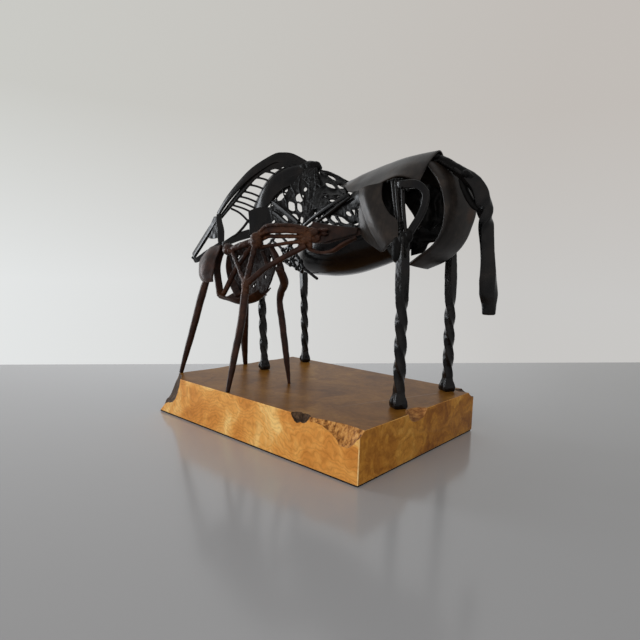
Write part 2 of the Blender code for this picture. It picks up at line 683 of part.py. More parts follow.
def make_foal_head():
    poll = weld("foal_poll_knot", [
        lump("poll", (26, -46, 249), (8, 6, 14), BROWN_STEEL),
        rod("bar", [(-24, -65, 250), (-2, -57, 247.5), (22, -49, 246.5)], (4.5,), BROWN_STEEL),
    ])
    top = [(30, -43, 263), (42, -36, 261), (62, -27, 259), (82, -17, 258)]
    near = [(30, -46, 240), (42, -40, 240), (60, -30, 246), (82, -20, 252)]
    rows = []
    for high, low in zip(top, near):
        ridge = Vector(high) + Vector((1.5, 3, 0))
        far = Vector(low) + Vector((4.5, 9, 0))
        rows.append([low, high, tuple(ridge + Vector((1, 2, -1))), tuple(far)])
    head = sheet("foal_head_plate", rows, FOAL_PLATE, BROWN_STEEL)
    jaw = ribbon("foal_jaw_strip", [(29, -46, 233), (38, -41, 229.5), (48, -37, 228.5), (57, -32, 231),
                                    (65, -28, 237), (74, -23, 243), (82, -19, 247)], [(0.4, 0.9, 0)], (6,), 2.2, BROWN_STEEL)
    neck_top = rod("foal_neck_bar_top", [(-37, -73, 250), (-27, -67, 258), (-19, -64, 260), (-5, -58, 260),
                                         (8, -53, 258), (22, -48, 254)], (6, 7, 7, 7, 7, 6), BROWN_STEEL)
    neck_low = rod("foal_neck_bar_low", [(-33, -69, 234), (-8, -60, 238), (24, -48, 241)], (3.6,), BROWN_STEEL)
    return [poll, head, jaw, neck_top, neck_low]


def main():
    clear_scene()
    pieces = make_slab() + make_legs() + [make_back()] + make_flanks() + [make_belly()]
    pieces += make_rump() + make_haunches() + make_tail() + make_neck() + make_head() + make_shoulders()
    pieces += make_foal_legs() + make_foal_body() + make_foal_head()
    fit_together(pieces)
    for obj in pieces:
        obj.data.shade_smooth()
        obj.data.set_sharp_from_angle(angle=math.radians(35))


main()
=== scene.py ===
import math

import bpy
import numpy as np
from mathutils import Euler, Matrix, Vector


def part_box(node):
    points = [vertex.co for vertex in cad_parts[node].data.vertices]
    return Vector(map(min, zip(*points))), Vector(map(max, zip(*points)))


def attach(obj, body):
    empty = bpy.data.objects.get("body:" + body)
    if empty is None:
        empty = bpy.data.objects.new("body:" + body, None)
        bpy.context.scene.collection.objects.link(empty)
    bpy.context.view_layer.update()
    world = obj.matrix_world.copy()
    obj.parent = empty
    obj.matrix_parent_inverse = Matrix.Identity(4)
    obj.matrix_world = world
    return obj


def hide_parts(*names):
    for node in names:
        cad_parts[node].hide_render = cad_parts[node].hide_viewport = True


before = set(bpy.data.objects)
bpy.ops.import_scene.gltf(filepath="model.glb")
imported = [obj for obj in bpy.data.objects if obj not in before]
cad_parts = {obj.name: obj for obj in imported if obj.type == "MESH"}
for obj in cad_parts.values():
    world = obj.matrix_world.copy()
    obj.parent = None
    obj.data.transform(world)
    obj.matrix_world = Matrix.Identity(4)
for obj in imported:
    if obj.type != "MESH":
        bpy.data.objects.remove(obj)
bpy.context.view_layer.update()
mm = 0.001  # the sizes below are in millimetres, from the middle of the slab's underside
print("frame loaded")


# tools for a mesh

def deselectAll():
    if bpy.context.object and bpy.context.object.mode != "OBJECT":
        bpy.ops.object.mode_set(mode="OBJECT")
    bpy.ops.object.select_all(action="DESELECT")


def applyModifier(piece, kind, **settings):
    bpy.context.view_layer.objects.active = piece
    added = piece.modifiers.new(kind.lower(), kind)
    for key, value in settings.items():
        setattr(added, key, value)
    bpy.ops.object.modifier_apply(modifier=added.name)


def roughen(piece, depth, size, fine=False):  # uneven dents and swellings, size across
    pattern = bpy.data.textures.new(f"{piece.name}Dents", "CLOUDS")
    pattern.noise_scale = size * mm
    pattern.noise_depth = 2
    pattern.noise_basis = "IMPROVED_PERLIN" if fine else "ORIGINAL_PERLIN"
    applyModifier(piece, "DISPLACE", texture=pattern, texture_coords="LOCAL", strength=depth * mm,
                  mid_level=0.5)


def refine(piece, depth, size):  # finer faces, and dents in them
    applyModifier(piece, "SUBSURF", levels=1, render_levels=1)
    roughen(piece, depth, size)


def fuse(piece, voxel, smooth):  # melts overlapping shapes into one skin
    applyModifier(piece, "REMESH", mode="VOXEL", voxel_size=voxel * mm, use_smooth_shade=True)
    applyModifier(piece, "SMOOTH", iterations=smooth, factor=0.5)


def smoothRows(rows, steps):  # rows of numbers eased through the given ones, as a Catmull-Rom curve
    rows = np.array(rows, float)
    if steps < 2:
        return rows
    held = np.vstack([2 * rows[0] - rows[1], rows, 2 * rows[-1] - rows[-2]])
    eased = []
    for a, b, c, d in zip(held, held[1:], held[2:], held[3:]):
        for t in np.arange(steps) / steps:
            eased.append(0.5 * (2 * b + (c - a) * t + (2 * a - 5 * b + 4 * c - d) * t**2
                                + (3 * b - a - 3 * c + d) * t**3))
    return np.array(eased + [rows[-1]])


def spread(values, count):  # one value for each of count places
    values = np.atleast_1d(np.array(values, float))
    return np.interp(np.linspace(0, 1, count), np.linspace(0, 1, len(values)), values)


creaseAngle = math.radians(32)  # edges sharper than this stay crisp


def finishPiece(piece, name, finish, nodes=()):
    piece.name = name
    piece.data.name = name
    if finish:
        piece.data.materials.clear()
        piece.data.materials.append(finish)
    deselectAll()
    piece.select_set(True)
    bpy.context.view_layer.objects.active = piece
    bpy.ops.object.transform_apply(location=True, rotation=True, scale=True)
    bpy.ops.object.shade_smooth_by_angle(angle=creaseAngle)
    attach(piece, "root")
    if nodes:
        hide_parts(*nodes)
    return piece


def joinPieces(pieces):
    deselectAll()
    for piece in pieces:
        piece.select_set(True)
    bpy.context.view_layer.objects.active = pieces[0]
    if len(pieces) > 1:
        bpy.ops.object.join()
    return bpy.context.object


# forging: a bar is one end face, extruded from place to place, turned and drawn down as it goes

plainBar = {"turn": 0, "steps": 4, "sides": 14, "flat": False, "across": None, "faces": None, "rough": None}


def barFrames(places, bar):  # which ways the bar's width, thickness and length run at each place
    count = len(bar["route"])
    turns = np.radians(spread(bar["turn"], count)).reshape(-1, 1)
    turns = smoothRows(turns, bar["steps"])[:, 0]
    across = bar["across"]
    if across is not None:  # the way that the width runs, for the whole bar or at each place
        across = smoothRows(np.resize(np.array(across, float), (count, 3)), bar["steps"])
    frames = []
    side = None
    for i, turn in enumerate(turns):
        way = Vector(places[min(i + 1, len(places) - 1)] - places[max(i - 1, 0)]).normalized()
        if bar["faces"]:  # the way that the flat of the bar looks
            side = way.cross(Vector(bar["faces"]))
        elif across is not None:
            side = Vector(across[i])
        elif side is None:
            side = way.orthogonal()
        side = (side - way * side.dot(way)).normalized()
        turned = side * math.cos(turn) + way.cross(side) * math.sin(turn)
        frames.append(Matrix((turned, way.cross(turned), way)).transposed())
    return frames


def extrudeTo(step, centre, old, new, stretch):  # the end face moved on, turned and resized
    bpy.ops.mesh.extrude_region_move(TRANSFORM_OT_translate={"value": step})
    for axis, angle in zip("XYZ", (new @ old.transposed()).to_euler("XYZ")):
        if abs(angle) > 1e-5:
            bpy.ops.transform.rotate(value=-angle, orient_axis=axis, orient_type="GLOBAL",
                                     center_override=centre)
    bpy.ops.transform.resize(value=stretch, orient_type="GLOBAL", orient_matrix=new,
                             orient_matrix_type="GLOBAL", center_override=centre)


def facesOutwards():
    bpy.ops.mesh.select_all(action="SELECT")
    bpy.ops.mesh.normals_make_consistent(inside=False)
    bpy.ops.object.mode_set(mode="OBJECT")


def startBar(bar, place, size, facing):  # the first end face: a square for a flat bar, or else round
    deselectAll()
    if bar["flat"]:
        bpy.ops.mesh.primitive_plane_add(size=1, location=place, rotation=facing.to_euler())
    else:
        bpy.ops.mesh.primitive_circle_add(vertices=bar["sides"], radius=0.5, fill_type="NGON",
                                          location=place, rotation=facing.to_euler())
    bpy.ops.object.mode_set(mode="EDIT")
    bpy.ops.transform.resize(value=(*size, 1), orient_type="GLOBAL", orient_matrix=facing,
                             orient_matrix_type="GLOBAL", center_override=place)
    return bpy.context.object


def forgeBar(bar):
    edge = 0.5 if bar.get("flat") else 0.3
    bar = {**plainBar, "thick": bar["width"], "edge": edge, **bar}
    count = len(bar["route"])
    rows = np.column_stack([bar["route"], spread(bar["width"], count), spread(bar["thick"], count)])
    rows = smoothRows(rows, bar["steps"])
    places = rows[:, :3] * mm
    sizes = rows[:, 3:] * mm
    frames = barFrames(places, bar)
    piece = startBar(bar, places[0], sizes[0], frames[0])
    for i in range(1, len(places)):
        stretch = (*(sizes[i] / sizes[i - 1]), 1)
        extrudeTo(places[i] - places[i - 1], places[i], frames[i - 1], frames[i], stretch)
    facesOutwards()
    bpy.ops.object.transform_apply(location=True, rotation=True, scale=True)
    if bar["edge"]:
        applyModifier(piece, "BEVEL", width=bar["edge"] * mm, segments=2, limit_method="ANGLE",
                      angle_limit=math.radians(38))
    if bar["rough"]:
        refine(piece, *bar["rough"])
    return piece


def placeGrid(rows, steps):  # a sheet of small squares, eased through the given places
    rows = np.array(rows, float)
    rows = smoothRows(rows.reshape(len(rows), -1), steps).reshape(-1, rows.shape[1], 3)
    columns = smoothRows(rows.transpose(1, 0, 2).reshape(rows.shape[1], -1), steps)
    grid = columns.reshape(-1, len(rows), 3) * mm
    deselectAll()
    bpy.ops.mesh.primitive_grid_add(x_subdivisions=grid.shape[1] - 1, y_subdivisions=grid.shape[0] - 1,
                                    size=0.1)
    piece = bpy.context.object
    for corner, place in zip(piece.data.vertices, grid.reshape(-1, 3)):
        corner.co = place
    return piece


def cutSheet(sheet):  # a plate of steel
    piece = placeGrid(sheet["rows"], sheet["steps"])
    roughen(piece, *sheet["dents"])
    applyModifier(piece, "SOLIDIFY", thickness=sheet["thick"] * mm, offset=0, use_even_offset=True)
    applyModifier(piece, "BEVEL", width=sheet.get("edge", 0.35) * mm, segments=2, limit_method="ANGLE",
                  angle_limit=math.radians(50))
    bpy.ops.object.mode_set(mode="EDIT")
    facesOutwards()
    return piece


def addBall(place, size, subdivisions, turn=(0, 0, 0)):
    deselectAll()
    bpy.ops.mesh.primitive_ico_sphere_add(subdivisions=subdivisions, radius=1, location=Vector(place) * mm,
                                          rotation=[math.radians(angle) for angle in turn])
    ball = bpy.context.object
    ball.scale = Vector(size) * mm
    bpy.ops.object.transform_apply(location=True, rotation=True, scale=True)
    return ball


def layBead(place, size, depth):  # a lump of built-up weld
    bead = addBall(place, size, 4)
    roughen(bead, depth, max(size) * 0.7)
    return bead


def layWeld(route, size, spacing=None):  # a row of beads along a seam, one modelled and the rest copied
    rng = np.random.default_rng(len(route))
    line = smoothRows(route, 12)
    lengths = np.concatenate([[0], np.cumsum(np.linalg.norm(np.diff(line, axis=0), axis=1))])
    count = max(2, round(lengths[-1] / (spacing or size * 0.9)))
    first = layBead((0, 0, 0), (size / 2, size / 2, size / 2), size * 0.12)
    beads = []
    for along in np.linspace(0, lengths[-1], count):
        place = Vector([np.interp(along, lengths, line[:, k]) for k in range(3)]) * mm
        bead = first.copy()
        bead.data = first.data.copy()
        bpy.context.collection.objects.link(bead)
        grown = Matrix.Scale(rng.uniform(0.8, 1.2), 4)
        turned = Euler(rng.uniform(0, 6, 3)).to_matrix().to_4x4()
        bead.data.transform(Matrix.Translation(place) @ turned @ grown)
        beads.append(bead)
    bpy.data.objects.remove(first)
    return beads


def bentRod(start, end, diameter, bow):  # a thin rod, a little off straight
    start, end = Vector(start), Vector(end)
    side = (end - start).cross(Vector((0.3, 1, 0.2))).normalized()
    middle = (start + end) / 2 + side * bow
    return forgeBar({"route": [start, middle, end], "width": [diameter, diameter * 0.94, diameter],
                     "sides": 10, "steps": 3, "edge": 0})


latticeFinish = {"joint": 0.72, "bow": 1.1, "voxel": 0.55, "dents": (0.45, 4)}  # joint: radius per diameter


def makeLattice(places, bars, diameter):  # rods brazed where they meet; each bar names its places in turn
    rng = np.random.default_rng(len(bars))
    bow = latticeFinish["bow"]
    rods = []
    for bar in bars:
        names = bar.split("-")
        for one, other in zip(names, names[1:]):
            thickness = diameter * rng.uniform(0.88, 1.12)
            rods.append(bentRod(places[one], places[other], thickness, rng.uniform(-bow, bow)))
    met = "-".join(bars).split("-")
    for name in dict.fromkeys(met):
        if met.count(name) > 1:
            size = diameter * latticeFinish["joint"] * rng.uniform(0.9, 1.25)
            rods.append(layBead(places[name], (size, size, size), 0.5))
    piece = joinPieces(rods)
    fuse(piece, latticeFinish["voxel"], 3)
    roughen(piece, *latticeFinish["dents"])
    return piece


def dropFaces(piece, unwanted):
    bpy.ops.object.mode_set(mode="EDIT")
    bpy.ops.mesh.select_mode(type="FACE")
    bpy.ops.mesh.select_all(action="DESELECT")
    bpy.ops.object.mode_set(mode="OBJECT")
    for face in piece.data.polygons:
        face.select = unwanted(face.center / mm)
    bpy.ops.object.mode_set(mode="EDIT")
    bpy.ops.mesh.delete(type="FACE")
    bpy.ops.mesh.select_mode(type="VERT")
    bpy.ops.object.mode_set(mode="OBJECT")


webFinish = {
    "smallOpening": 8, "thinner": 0.75,  # rings round openings shorter than this are thinner
    "waves": (2.4, 7), "voxel": 0.76, "lumps": (0.9, 4), "pits": (0.5, 1.6),
}


def webWays(web):  # the level way and the rising way along a web
    normal = Vector(web["normal"]).normalized()
    level = normal.cross((0, 0, 1)).normalized()
    level *= math.copysign(1, level.x)
    rise = level.cross(normal)
    rise *= math.copysign(1, rise.z)
    return level, rise


def ringRoute(place, along, over, halves, fullness):  # a closed route round an opening
    route = []
    for turn in np.linspace(0, 2 * math.pi, 13):
        onward, out = math.cos(turn), math.sin(turn)
        onward = math.copysign(abs(onward)**(2 / fullness), onward) * halves[0]
        out = math.copysign(abs(out)**(2 / fullness), out) * halves[1]
        route.append(Vector(place) + along * onward + over * out)
    return route


def makeWeb(web):  # a skin of weld with lens-shaped openings, each one ringed by a rod
    rng = np.random.default_rng(len(web["openings"]))
    level, rise = webWays(web)
    lenses = []
    rings = []
    for place, long, wide, tilt in web["openings"]:
        tilt = math.radians(tilt)
        long += web["give"]  # what the rods round it take away again
        wide += web["give"]
        along = level * math.cos(tilt) + rise * math.sin(tilt)
        over = rise * math.cos(tilt) - level * math.sin(tilt)
        rod = web["rod"] if long > webFinish["smallOpening"] else web["rod"] * webFinish["thinner"]
        fullness = rng.uniform(1.25, 2.3)  # from a diamond to an oval
        lenses.append((Vector(place), along / (long + rod) * 2, over / (wide + rod) * 2, fullness))
        route = ringRoute(place, along, over, ((long + rod) / 2, (wide + rod) / 2), fullness)
        rings.append(forgeBar({"route": route, "width": list(rod * rng.uniform(0.85, 1.15, 5)), "sides": 8,
                               "steps": 2, "edge": 0}))

    def isOpen(at):
        return any(abs((at - place).dot(along))**fullness + abs((at - place).dot(over))**fullness < 1
                   for place, along, over, fullness in lenses)

    skin = placeGrid(web["rows"], web["steps"])
    dropFaces(skin, isOpen)
    roughen(skin, *webFinish["waves"])
    applyModifier(skin, "SOLIDIFY", thickness=web["skin"] * mm, offset=0)
    rods = [forgeBar({"route": route, "width": web["rod"], "sides": 8, "rough": (0.8, 4)})
            for route in web["rods"]]
    piece = joinPieces([skin] + rings + rods)
    fuse(piece, webFinish["voxel"], 2)
    roughen(piece, *webFinish["lumps"])
    roughen(piece, *webFinish["pits"], fine=True)
    return piece


# materials

def addNode(tree, kind, place, **settings):
    made = tree.nodes.new(kind)
    made.location = place
    for key, value in settings.items():
        setattr(made, key, value)
    return made


def setInputs(node, **values):  # Detail_Scale stands for the socket "Detail Scale"
    for key, value in values.items():
        node.inputs[key.replace("_", " ")].default_value = value
    return node


def rampNode(tree, stops, place):
    ramp = addNode(tree, "ShaderNodeValToRGB", place)
    points = ramp.color_ramp.elements
    while len(points) < len(stops):
        points.new(0.5)
    for point, (at, colour) in zip(points, stops):
        point.position = at
        point.color = (*colour, 1)
    return ramp


def addNoise(tree, place, **values):
    return setInputs(addNode(tree, "ShaderNodeTexNoise", place), **values)


def addMix(tree, place, below, above, blend="MIX", share=None):  # one colour over another
    mix = addNode(tree, "ShaderNodeMix", place, data_type="RGBA", blend_type=blend)
    if share is not None:
        mix.inputs["Factor"].default_value = share
    tree.links.new(below, mix.inputs["A"])
    tree.links.new(above, mix.inputs["B"])
    return mix


def addGloss(tree, shader, mask, roughness, place):  # roughness between two values, by a mask
    low, high = roughness
    gloss = setInputs(addNode(tree, "ShaderNodeMapRange", place), To_Min=low, To_Max=high)
    tree.links.new(mask, gloss.inputs["Value"])
    tree.links.new(gloss.outputs["Result"], shader.inputs["Roughness"])


def addBump(tree, shader, height, strength, distance, place):
    bump = setInputs(addNode(tree, "ShaderNodeBump", place), Strength=strength, Distance=distance * mm)
    tree.links.new(height, bump.inputs["Height"])
    tree.links.new(bump.outputs["Normal"], shader.inputs["Normal"])


def makeForgedGroup():  # patches, streaks and grain of worked steel
    group = bpy.data.node_groups.new("forgedSkin", "ShaderNodeTree")
    group.interface.new_socket("Vector", in_out="INPUT", socket_type="NodeSocketVector")
    for name, value in (("Patch scale", 40.0), ("Grain scale", 700.0)):
        socket = group.interface.new_socket(name, in_out="INPUT", socket_type="NodeSocketFloat")
        socket.default_value = value
    for name in ("Patches", "Streaks", "Grain", "Height"):
        group.interface.new_socket(name, in_out="OUTPUT", socket_type="NodeSocketFloat")
    start = addNode(group, "NodeGroupInput", (-900, 0))
    end = addNode(group, "NodeGroupOutput", (700, 0))
    patches = addNoise(group, (-500, 300), Detail=5, Roughness=0.6, Distortion=0.5)
    grain = addNoise(group, (-500, 0), Detail=3, Roughness=0.7)
    stretch = addNode(group, "ShaderNodeMapping", (-700, -300))
    stretch.inputs["Scale"].default_value = (1.0, 1.0, 0.08)
    streaks = addNoise(group, (-500, -300), Scale=260.0, Detail=4, Roughness=0.6)
    dents = addNode(group, "ShaderNodeTexVoronoi", (-500, -600), feature="SMOOTH_F1")
    setInputs(dents, Scale=150.0, Smoothness=0.8)
    for node in (patches, grain, stretch, dents):
        group.links.new(start.outputs["Vector"], node.inputs["Vector"])
    group.links.new(stretch.outputs[0], streaks.inputs["Vector"])
    group.links.new(start.outputs["Patch scale"], patches.inputs["Scale"])
    group.links.new(start.outputs["Grain scale"], grain.inputs["Scale"])
    height = addNode(group, "ShaderNodeMath", (0, -100), operation="MULTIPLY_ADD")
    height.inputs[1].default_value = 0.35  # how much of the grain lies on the dents
    group.links.new(grain.outputs["Fac"], height.inputs[0])
    group.links.new(dents.outputs["Distance"], height.inputs[2])
    for name, node in (("Patches", patches), ("Streaks", streaks), ("Grain", grain)):
        group.links.new(node.outputs["Fac"], end.inputs[name])
    group.links.new(height.outputs[0], end.inputs["Height"])
    return group


def newMaterial(name):
    made = bpy.data.materials.new(name)
    made.use_nodes = True
    tree = made.node_tree
    return made, tree, tree.nodes["Principled BSDF"]


def addRust(tree, place, skin, below, spot, radius, colours):  # a heat-marked, rusty place
    away = addNode(tree, "ShaderNodeVectorMath", (-1150, 500), operation="DISTANCE")
    away.inputs[1].default_value = Vector(spot) * mm
    tree.links.new(place.outputs["Object"], away.inputs[0])
    near = addNode(tree, "ShaderNodeMapRange", (-950, 500))
    setInputs(near, From_Min=radius * mm, From_Max=radius * 0.35 * mm)
    tree.links.new(away.outputs["Value"], near.inputs["Value"])
    lift = addNode(tree, "ShaderNodeMath", (-950, 700), operation="MULTIPLY")
    lift.inputs[1].default_value = 1.8  # how much of the place the patches fill
    tree.links.new(skin.outputs["Patches"], lift.inputs[0])
    patchy = addNode(tree, "ShaderNodeMath", (-750, 500), operation="MULTIPLY", use_clamp=True)
    tree.links.new(near.outputs["Result"], patchy.inputs[0])
    tree.links.new(lift.outputs[0], patchy.inputs[1])
    tint = rampNode(tree, colours, (-750, 800))
    tree.links.new(skin.outputs["Grain"], tint.inputs["Fac"])
    mix = addMix(tree, (-300, 500), below, tint.outputs["Color"])
    tree.links.new(patchy.outputs[0], mix.inputs["Factor"])
    return mix.outputs["Result"]


def makeSteel(name, steel):
    made, tree, shader = newMaterial(name)
    place = addNode(tree, "ShaderNodeTexCoord", (-1400, 0))
    skin = addNode(tree, "ShaderNodeGroup", (-1150, 0), node_tree=forgedSkin)
    setInputs(skin, Patch_scale=steel["patchScale"], Grain_scale=steel["grainScale"])
    tree.links.new(place.outputs["Object"], skin.inputs["Vector"])
    colour = rampNode(tree, steel["colours"], (-800, 300))
    tree.links.new(skin.outputs["Patches"], colour.inputs["Fac"])
    tone = rampNode(tree, [(0.3, (0.55, 0.55, 0.55)), (0.7, (1.2, 1.2, 1.2))], (-800, 0))
    tree.links.new(skin.outputs["Streaks"], tone.inputs["Fac"])
    speck = addMix(tree, (-450, 300), colour.outputs["Color"], tone.outputs["Color"], "MULTIPLY", 0.6)
    last = speck.outputs["Result"]
    for spot, radius in steel["rust"]:
        last = addRust(tree, place, skin, last, spot, radius, steel["rustColours"])
    tree.links.new(last, shader.inputs["Base Color"])
    addGloss(tree, shader, skin.outputs["Grain"], steel["roughness"], (-450, -100))
    addBump(tree, shader, skin.outputs["Height"], steel["bump"], 0.5, (-450, -400))
    setInputs(shader, Metallic=steel["metallic"], Specular_IOR_Level=steel["specular"])
    return made


mareSteel = {
    "colours": [(0.30, (0.0034, 0.0034, 0.0042)), (0.5, (0.0072, 0.0066, 0.0068)),
                (0.72, (0.0155, 0.0122, 0.0108))],
    "patchScale": 45.0, "grainScale": 800.0,
    "roughness": (0.15, 0.30), "bump": 0.14, "metallic": 0.45, "specular": 0.5,
    "rust": [((186, 62, 277), 12)],  # the middle and the radius of each rusty place
    "rustColours": [(0.35, (0.030, 0.014, 0.008)), (0.6, (0.085, 0.038, 0.018))],
}
plateSteel = {
    **mareSteel, "roughness": (0.24, 0.42), "metallic": 0.35, "specular": 0.45,
    "colours": [(0.30, (0.010, 0.0082, 0.0076)), (0.5, (0.0210, 0.0165, 0.0142)),
                (0.72, (0.046, 0.034, 0.027))],
}
weldSteel = {
    **mareSteel, "roughness": (0.30, 0.50), "metallic": 0.2, "specular": 0.16, "bump": 0.7,
    "grainScale": 1100.0,
    "colours": [(0.30, (0.0018, 0.0018, 0.0021)), (0.72, (0.0055, 0.0049, 0.0046))],
}
foalSteel = {
    "colours": [(0.30, (0.012, 0.0046, 0.0030)), (0.5, (0.029, 0.0108, 0.0064)),
                (0.72, (0.062, 0.0235, 0.0130))],
    "patchScale": 70.0, "grainScale": 900.0,
    "roughness": (0.30, 0.50), "bump": 0.5, "metallic": 0.25, "specular": 0.36,
    "rust": [((26, -46, 248), 20), ((-33, -71, 245), 17), ((-24, -101, 184), 13), ((-106, -72, 171), 12),
             ((5, -57, 247), 22)],
    "rustColours": [(0.32, (0.028, 0.010, 0.004)), (0.55, (0.080, 0.029, 0.011)),
                    (0.75, (0.16, 0.064, 0.021))],
}
# the weld skin of the foal's barrel wall: rougher weld, with colours painted darker as painted shade for
# the inside of the barrel
foalWeldPaintedShade = {
    **foalSteel, "roughness": (0.42, 0.66), "metallic": 0.1, "specular": 0.12, "bump": 0.9,
    "colours": [(0.30, (0.005, 0.0022, 0.0016)), (0.72, (0.017, 0.0074, 0.0048))],
}
foalPlate = {
    **foalSteel, "rust": [], "colours": [(0.30, (0.006, 0.0024, 0.0017)), (0.72, (0.030, 0.0115, 0.0070))],
}

forgedSkin = makeForgedGroup()
blackSteel = makeSteel("blackSteel", mareSteel)
blackPlate = makeSteel("blackPlate", plateSteel)
blackWeld = makeSteel("blackWeld", weldSteel)
brownSteel = makeSteel("brownSteel", foalSteel)
brownWeldPaintedShade = makeSteel("brownWeldPaintedShade", foalWeldPaintedShade)
brownPlate = makeSteel("brownPlate", foalPlate)
print("steels made")


burlTones = {  # how each layer darkens and lightens the wood
    "rings": [(0.0, (0.76, 0.68, 0.56)), (0.3, (1, 1, 1)), (0.9, (1.12, 1.10, 1.04))],
    "mottles": [(0.30, (0.72, 0.62, 0.50)), (0.5, (1, 1, 1)), (0.7, (1.15, 1.18, 1.20))],
    "fine": [(0.34, (0.76, 0.68, 0.58)), (0.52, (1, 1, 1)), (0.7, (1.08, 1.08, 1.06))],
    "eyes": [(0.0, (0.30, 0.20, 0.14)), (0.10, (0.62, 0.50, 0.38)), (0.16, (1.15, 1.15, 1.1)),
             (0.28, (1, 1, 1))],
}


def makeBurl(name, wood):  # swirling figure, mottles, eyes and fine flecks
    made, tree, shader = newMaterial(name)
    place = addNode(tree, "ShaderNodeTexCoord", (-2000, 0)).outputs["Object"]
    warp = addNoise(tree, (-1800, -200), Scale=wood["swirl"], Detail=4, Roughness=0.6)
    bend = addNode(tree, "ShaderNodeVectorMath", (-1600, 0), operation="MULTIPLY_ADD")
    bend.inputs[1].default_value = (0.10, 0.10, 0.10)  # how far the figure swirls, in metres
    tree.links.new(place, warp.inputs["Vector"])
    tree.links.new(warp.outputs["Color"], bend.inputs[0])
    tree.links.new(place, bend.inputs[2])
    bent = bend.outputs[0]
    pull = addNode(tree, "ShaderNodeMapping", (-1600, -600))
    pull.inputs["Scale"].default_value = wood["pull"]
    rings = addNode(tree, "ShaderNodeTexWave", (-1350, 300), wave_type="BANDS", bands_direction="Z")
    setInputs(rings, Scale=wood["rings"], Distortion=2.2, Detail=2.0, Detail_Scale=1.2,
              Detail_Roughness=0.5)
    patches = addNoise(tree, (-1350, 0), Scale=wood["patches"], Detail=4, Roughness=0.6, Distortion=1.2)
    mottles = addNoise(tree, (-1350, -300), Scale=75.0, Detail=4, Roughness=0.6, Distortion=2.5)
    fine = addNoise(tree, (-1350, -600), Scale=300.0, Detail=4, Roughness=0.65)
    eyes = addNode(tree, "ShaderNodeTexVoronoi", (-1350, -900), feature="F1")
    setInputs(eyes, Scale=wood["eyes"], Randomness=1.0)
    for start, node in ((bent, rings), (bent, patches), (bent, pull), (bent, eyes), (place, mottles),
                        (pull.outputs[0], fine)):
        tree.links.new(start, node.inputs["Vector"])
    base = rampNode(tree, wood["colours"], (-1000, 0))
    tree.links.new(patches.outputs["Fac"], base.inputs["Fac"])
    last = base.outputs["Color"]
    layers = (
        ("rings", rings.outputs["Fac"], 0.6 * wood["contrast"]),
        ("mottles", mottles.outputs["Fac"], wood["mottled"]),
        ("fine", fine.outputs["Fac"], 0.6 * wood["contrast"]),
        ("eyes", eyes.outputs["Distance"], wood["eyeDepth"]),
    )
    for number, (layer, mask, share) in enumerate(layers):
        tone = rampNode(tree, burlTones[layer], (-1000, 300 - 300 * number))
        tree.links.new(mask, tone.inputs["Fac"])
        mix = addMix(tree, (-700 + 150 * number, 200), last, tone.outputs["Color"], "MULTIPLY", share)
        last = mix.outputs["Result"]
    tree.links.new(last, shader.inputs["Base Color"])
    addGloss(tree, shader, fine.outputs["Fac"], wood["roughness"], (-500, -300))
    addBump(tree, shader, fine.outputs["Fac"], 0.12, 0.3, (-300, -300))
    setInputs(shader, Specular_IOR_Level=wood["specular"])
    return made


def makeBark(name, bark):  # ridges and pits in one grain, for bark, broken wood and felt
    made, tree, shader = newMaterial(name)
    place = addNode(tree, "ShaderNodeTexCoord", (-1400, 0))
    ridges = addNode(tree, "ShaderNodeMapping", (-1200, 0))
    ridges.inputs["Scale"].default_value = bark["stretch"]
    tree.links.new(place.outputs["Object"], ridges.inputs["Vector"])
    grain = addNoise(tree, (-1000, 0), Scale=bark["scale"], Detail=5, Roughness=0.65)
    tree.links.new(ridges.outputs[0], grain.inputs["Vector"])
    colour = rampNode(tree, bark["colours"], (-700, 0))
    tree.links.new(grain.outputs["Fac"], colour.inputs["Fac"])
    tree.links.new(colour.outputs["Color"], shader.inputs["Base Color"])
    addBump(tree, shader, grain.outputs["Fac"], bark["bump"], 0.8, (-400, -300))
    setInputs(shader, Roughness=bark["roughness"], Specular_IOR_Level=0.18)
    return made


burlWood = makeBurl("burlWood", {
    "swirl": 9.0, "rings": 66.0, "patches": 15.0, "pull": (1, 1, 1), "eyes": 60.0, "eyeDepth": 0.08,
    "contrast": 0.75, "mottled": 0.3, "roughness": (0.30, 0.46), "specular": 0.3,
    "colours": [(0.28, (0.50, 0.185, 0.030)), (0.44, (0.66, 0.285, 0.058)), (0.55, (0.76, 0.38, 0.095)),
                (0.66, (0.88, 0.58, 0.21))],
})
# the top: the same wood painted darker than the front, as painted shade where the light only grazes it
burlTopPaintedShade = makeBurl("burlTopPaintedShade", {
    "swirl": 9.0, "rings": 30.0, "patches": 12.0, "pull": (1, 1, 1), "eyes": 55.0, "eyeDepth": 0.06,
    "contrast": 0.5, "mottled": 0.5, "roughness": (0.30, 0.44), "specular": 0.05,
    "colours": [(0.30, (0.17, 0.070, 0.011)), (0.5, (0.255, 0.112, 0.020)), (0.7, (0.350, 0.170, 0.036))],
})
# the end: its own end-grain figure, in colours painted darker as painted shade on the side that faces away
# from the light
burlEndGrainAndShade = makeBurl("burlEndGrainAndShade", {
    "swirl": 14.0, "rings": 22.0, "patches": 20.0, "pull": (1, 1, 0.2), "eyes": 150.0, "eyeDepth": 0.75,
    "contrast": 0.8, "mottled": 0.6, "roughness": (0.36, 0.54), "specular": 0.2,
    "colours": [(0.30, (0.24, 0.082, 0.010)), (0.48, (0.42, 0.172, 0.022)), (0.62, (0.56, 0.262, 0.040)),
                (0.74, (0.66, 0.37, 0.078))],
})
# the near vertical corner, in paler wood than the front
burlPaleCorner = makeBurl("burlPaleCorner", {
    "swirl": 13.0, "rings": 62.0, "patches": 30.0, "pull": (1, 1, 1), "eyes": 90.0, "eyeDepth": 0.1,
    "contrast": 0.6, "mottled": 0.3, "roughness": (0.36, 0.52), "specular": 0.35,
    "colours": [(0.30, (0.62, 0.30, 0.08)), (0.5, (0.78, 0.46, 0.16)), (0.7, (0.90, 0.64, 0.30))],
})
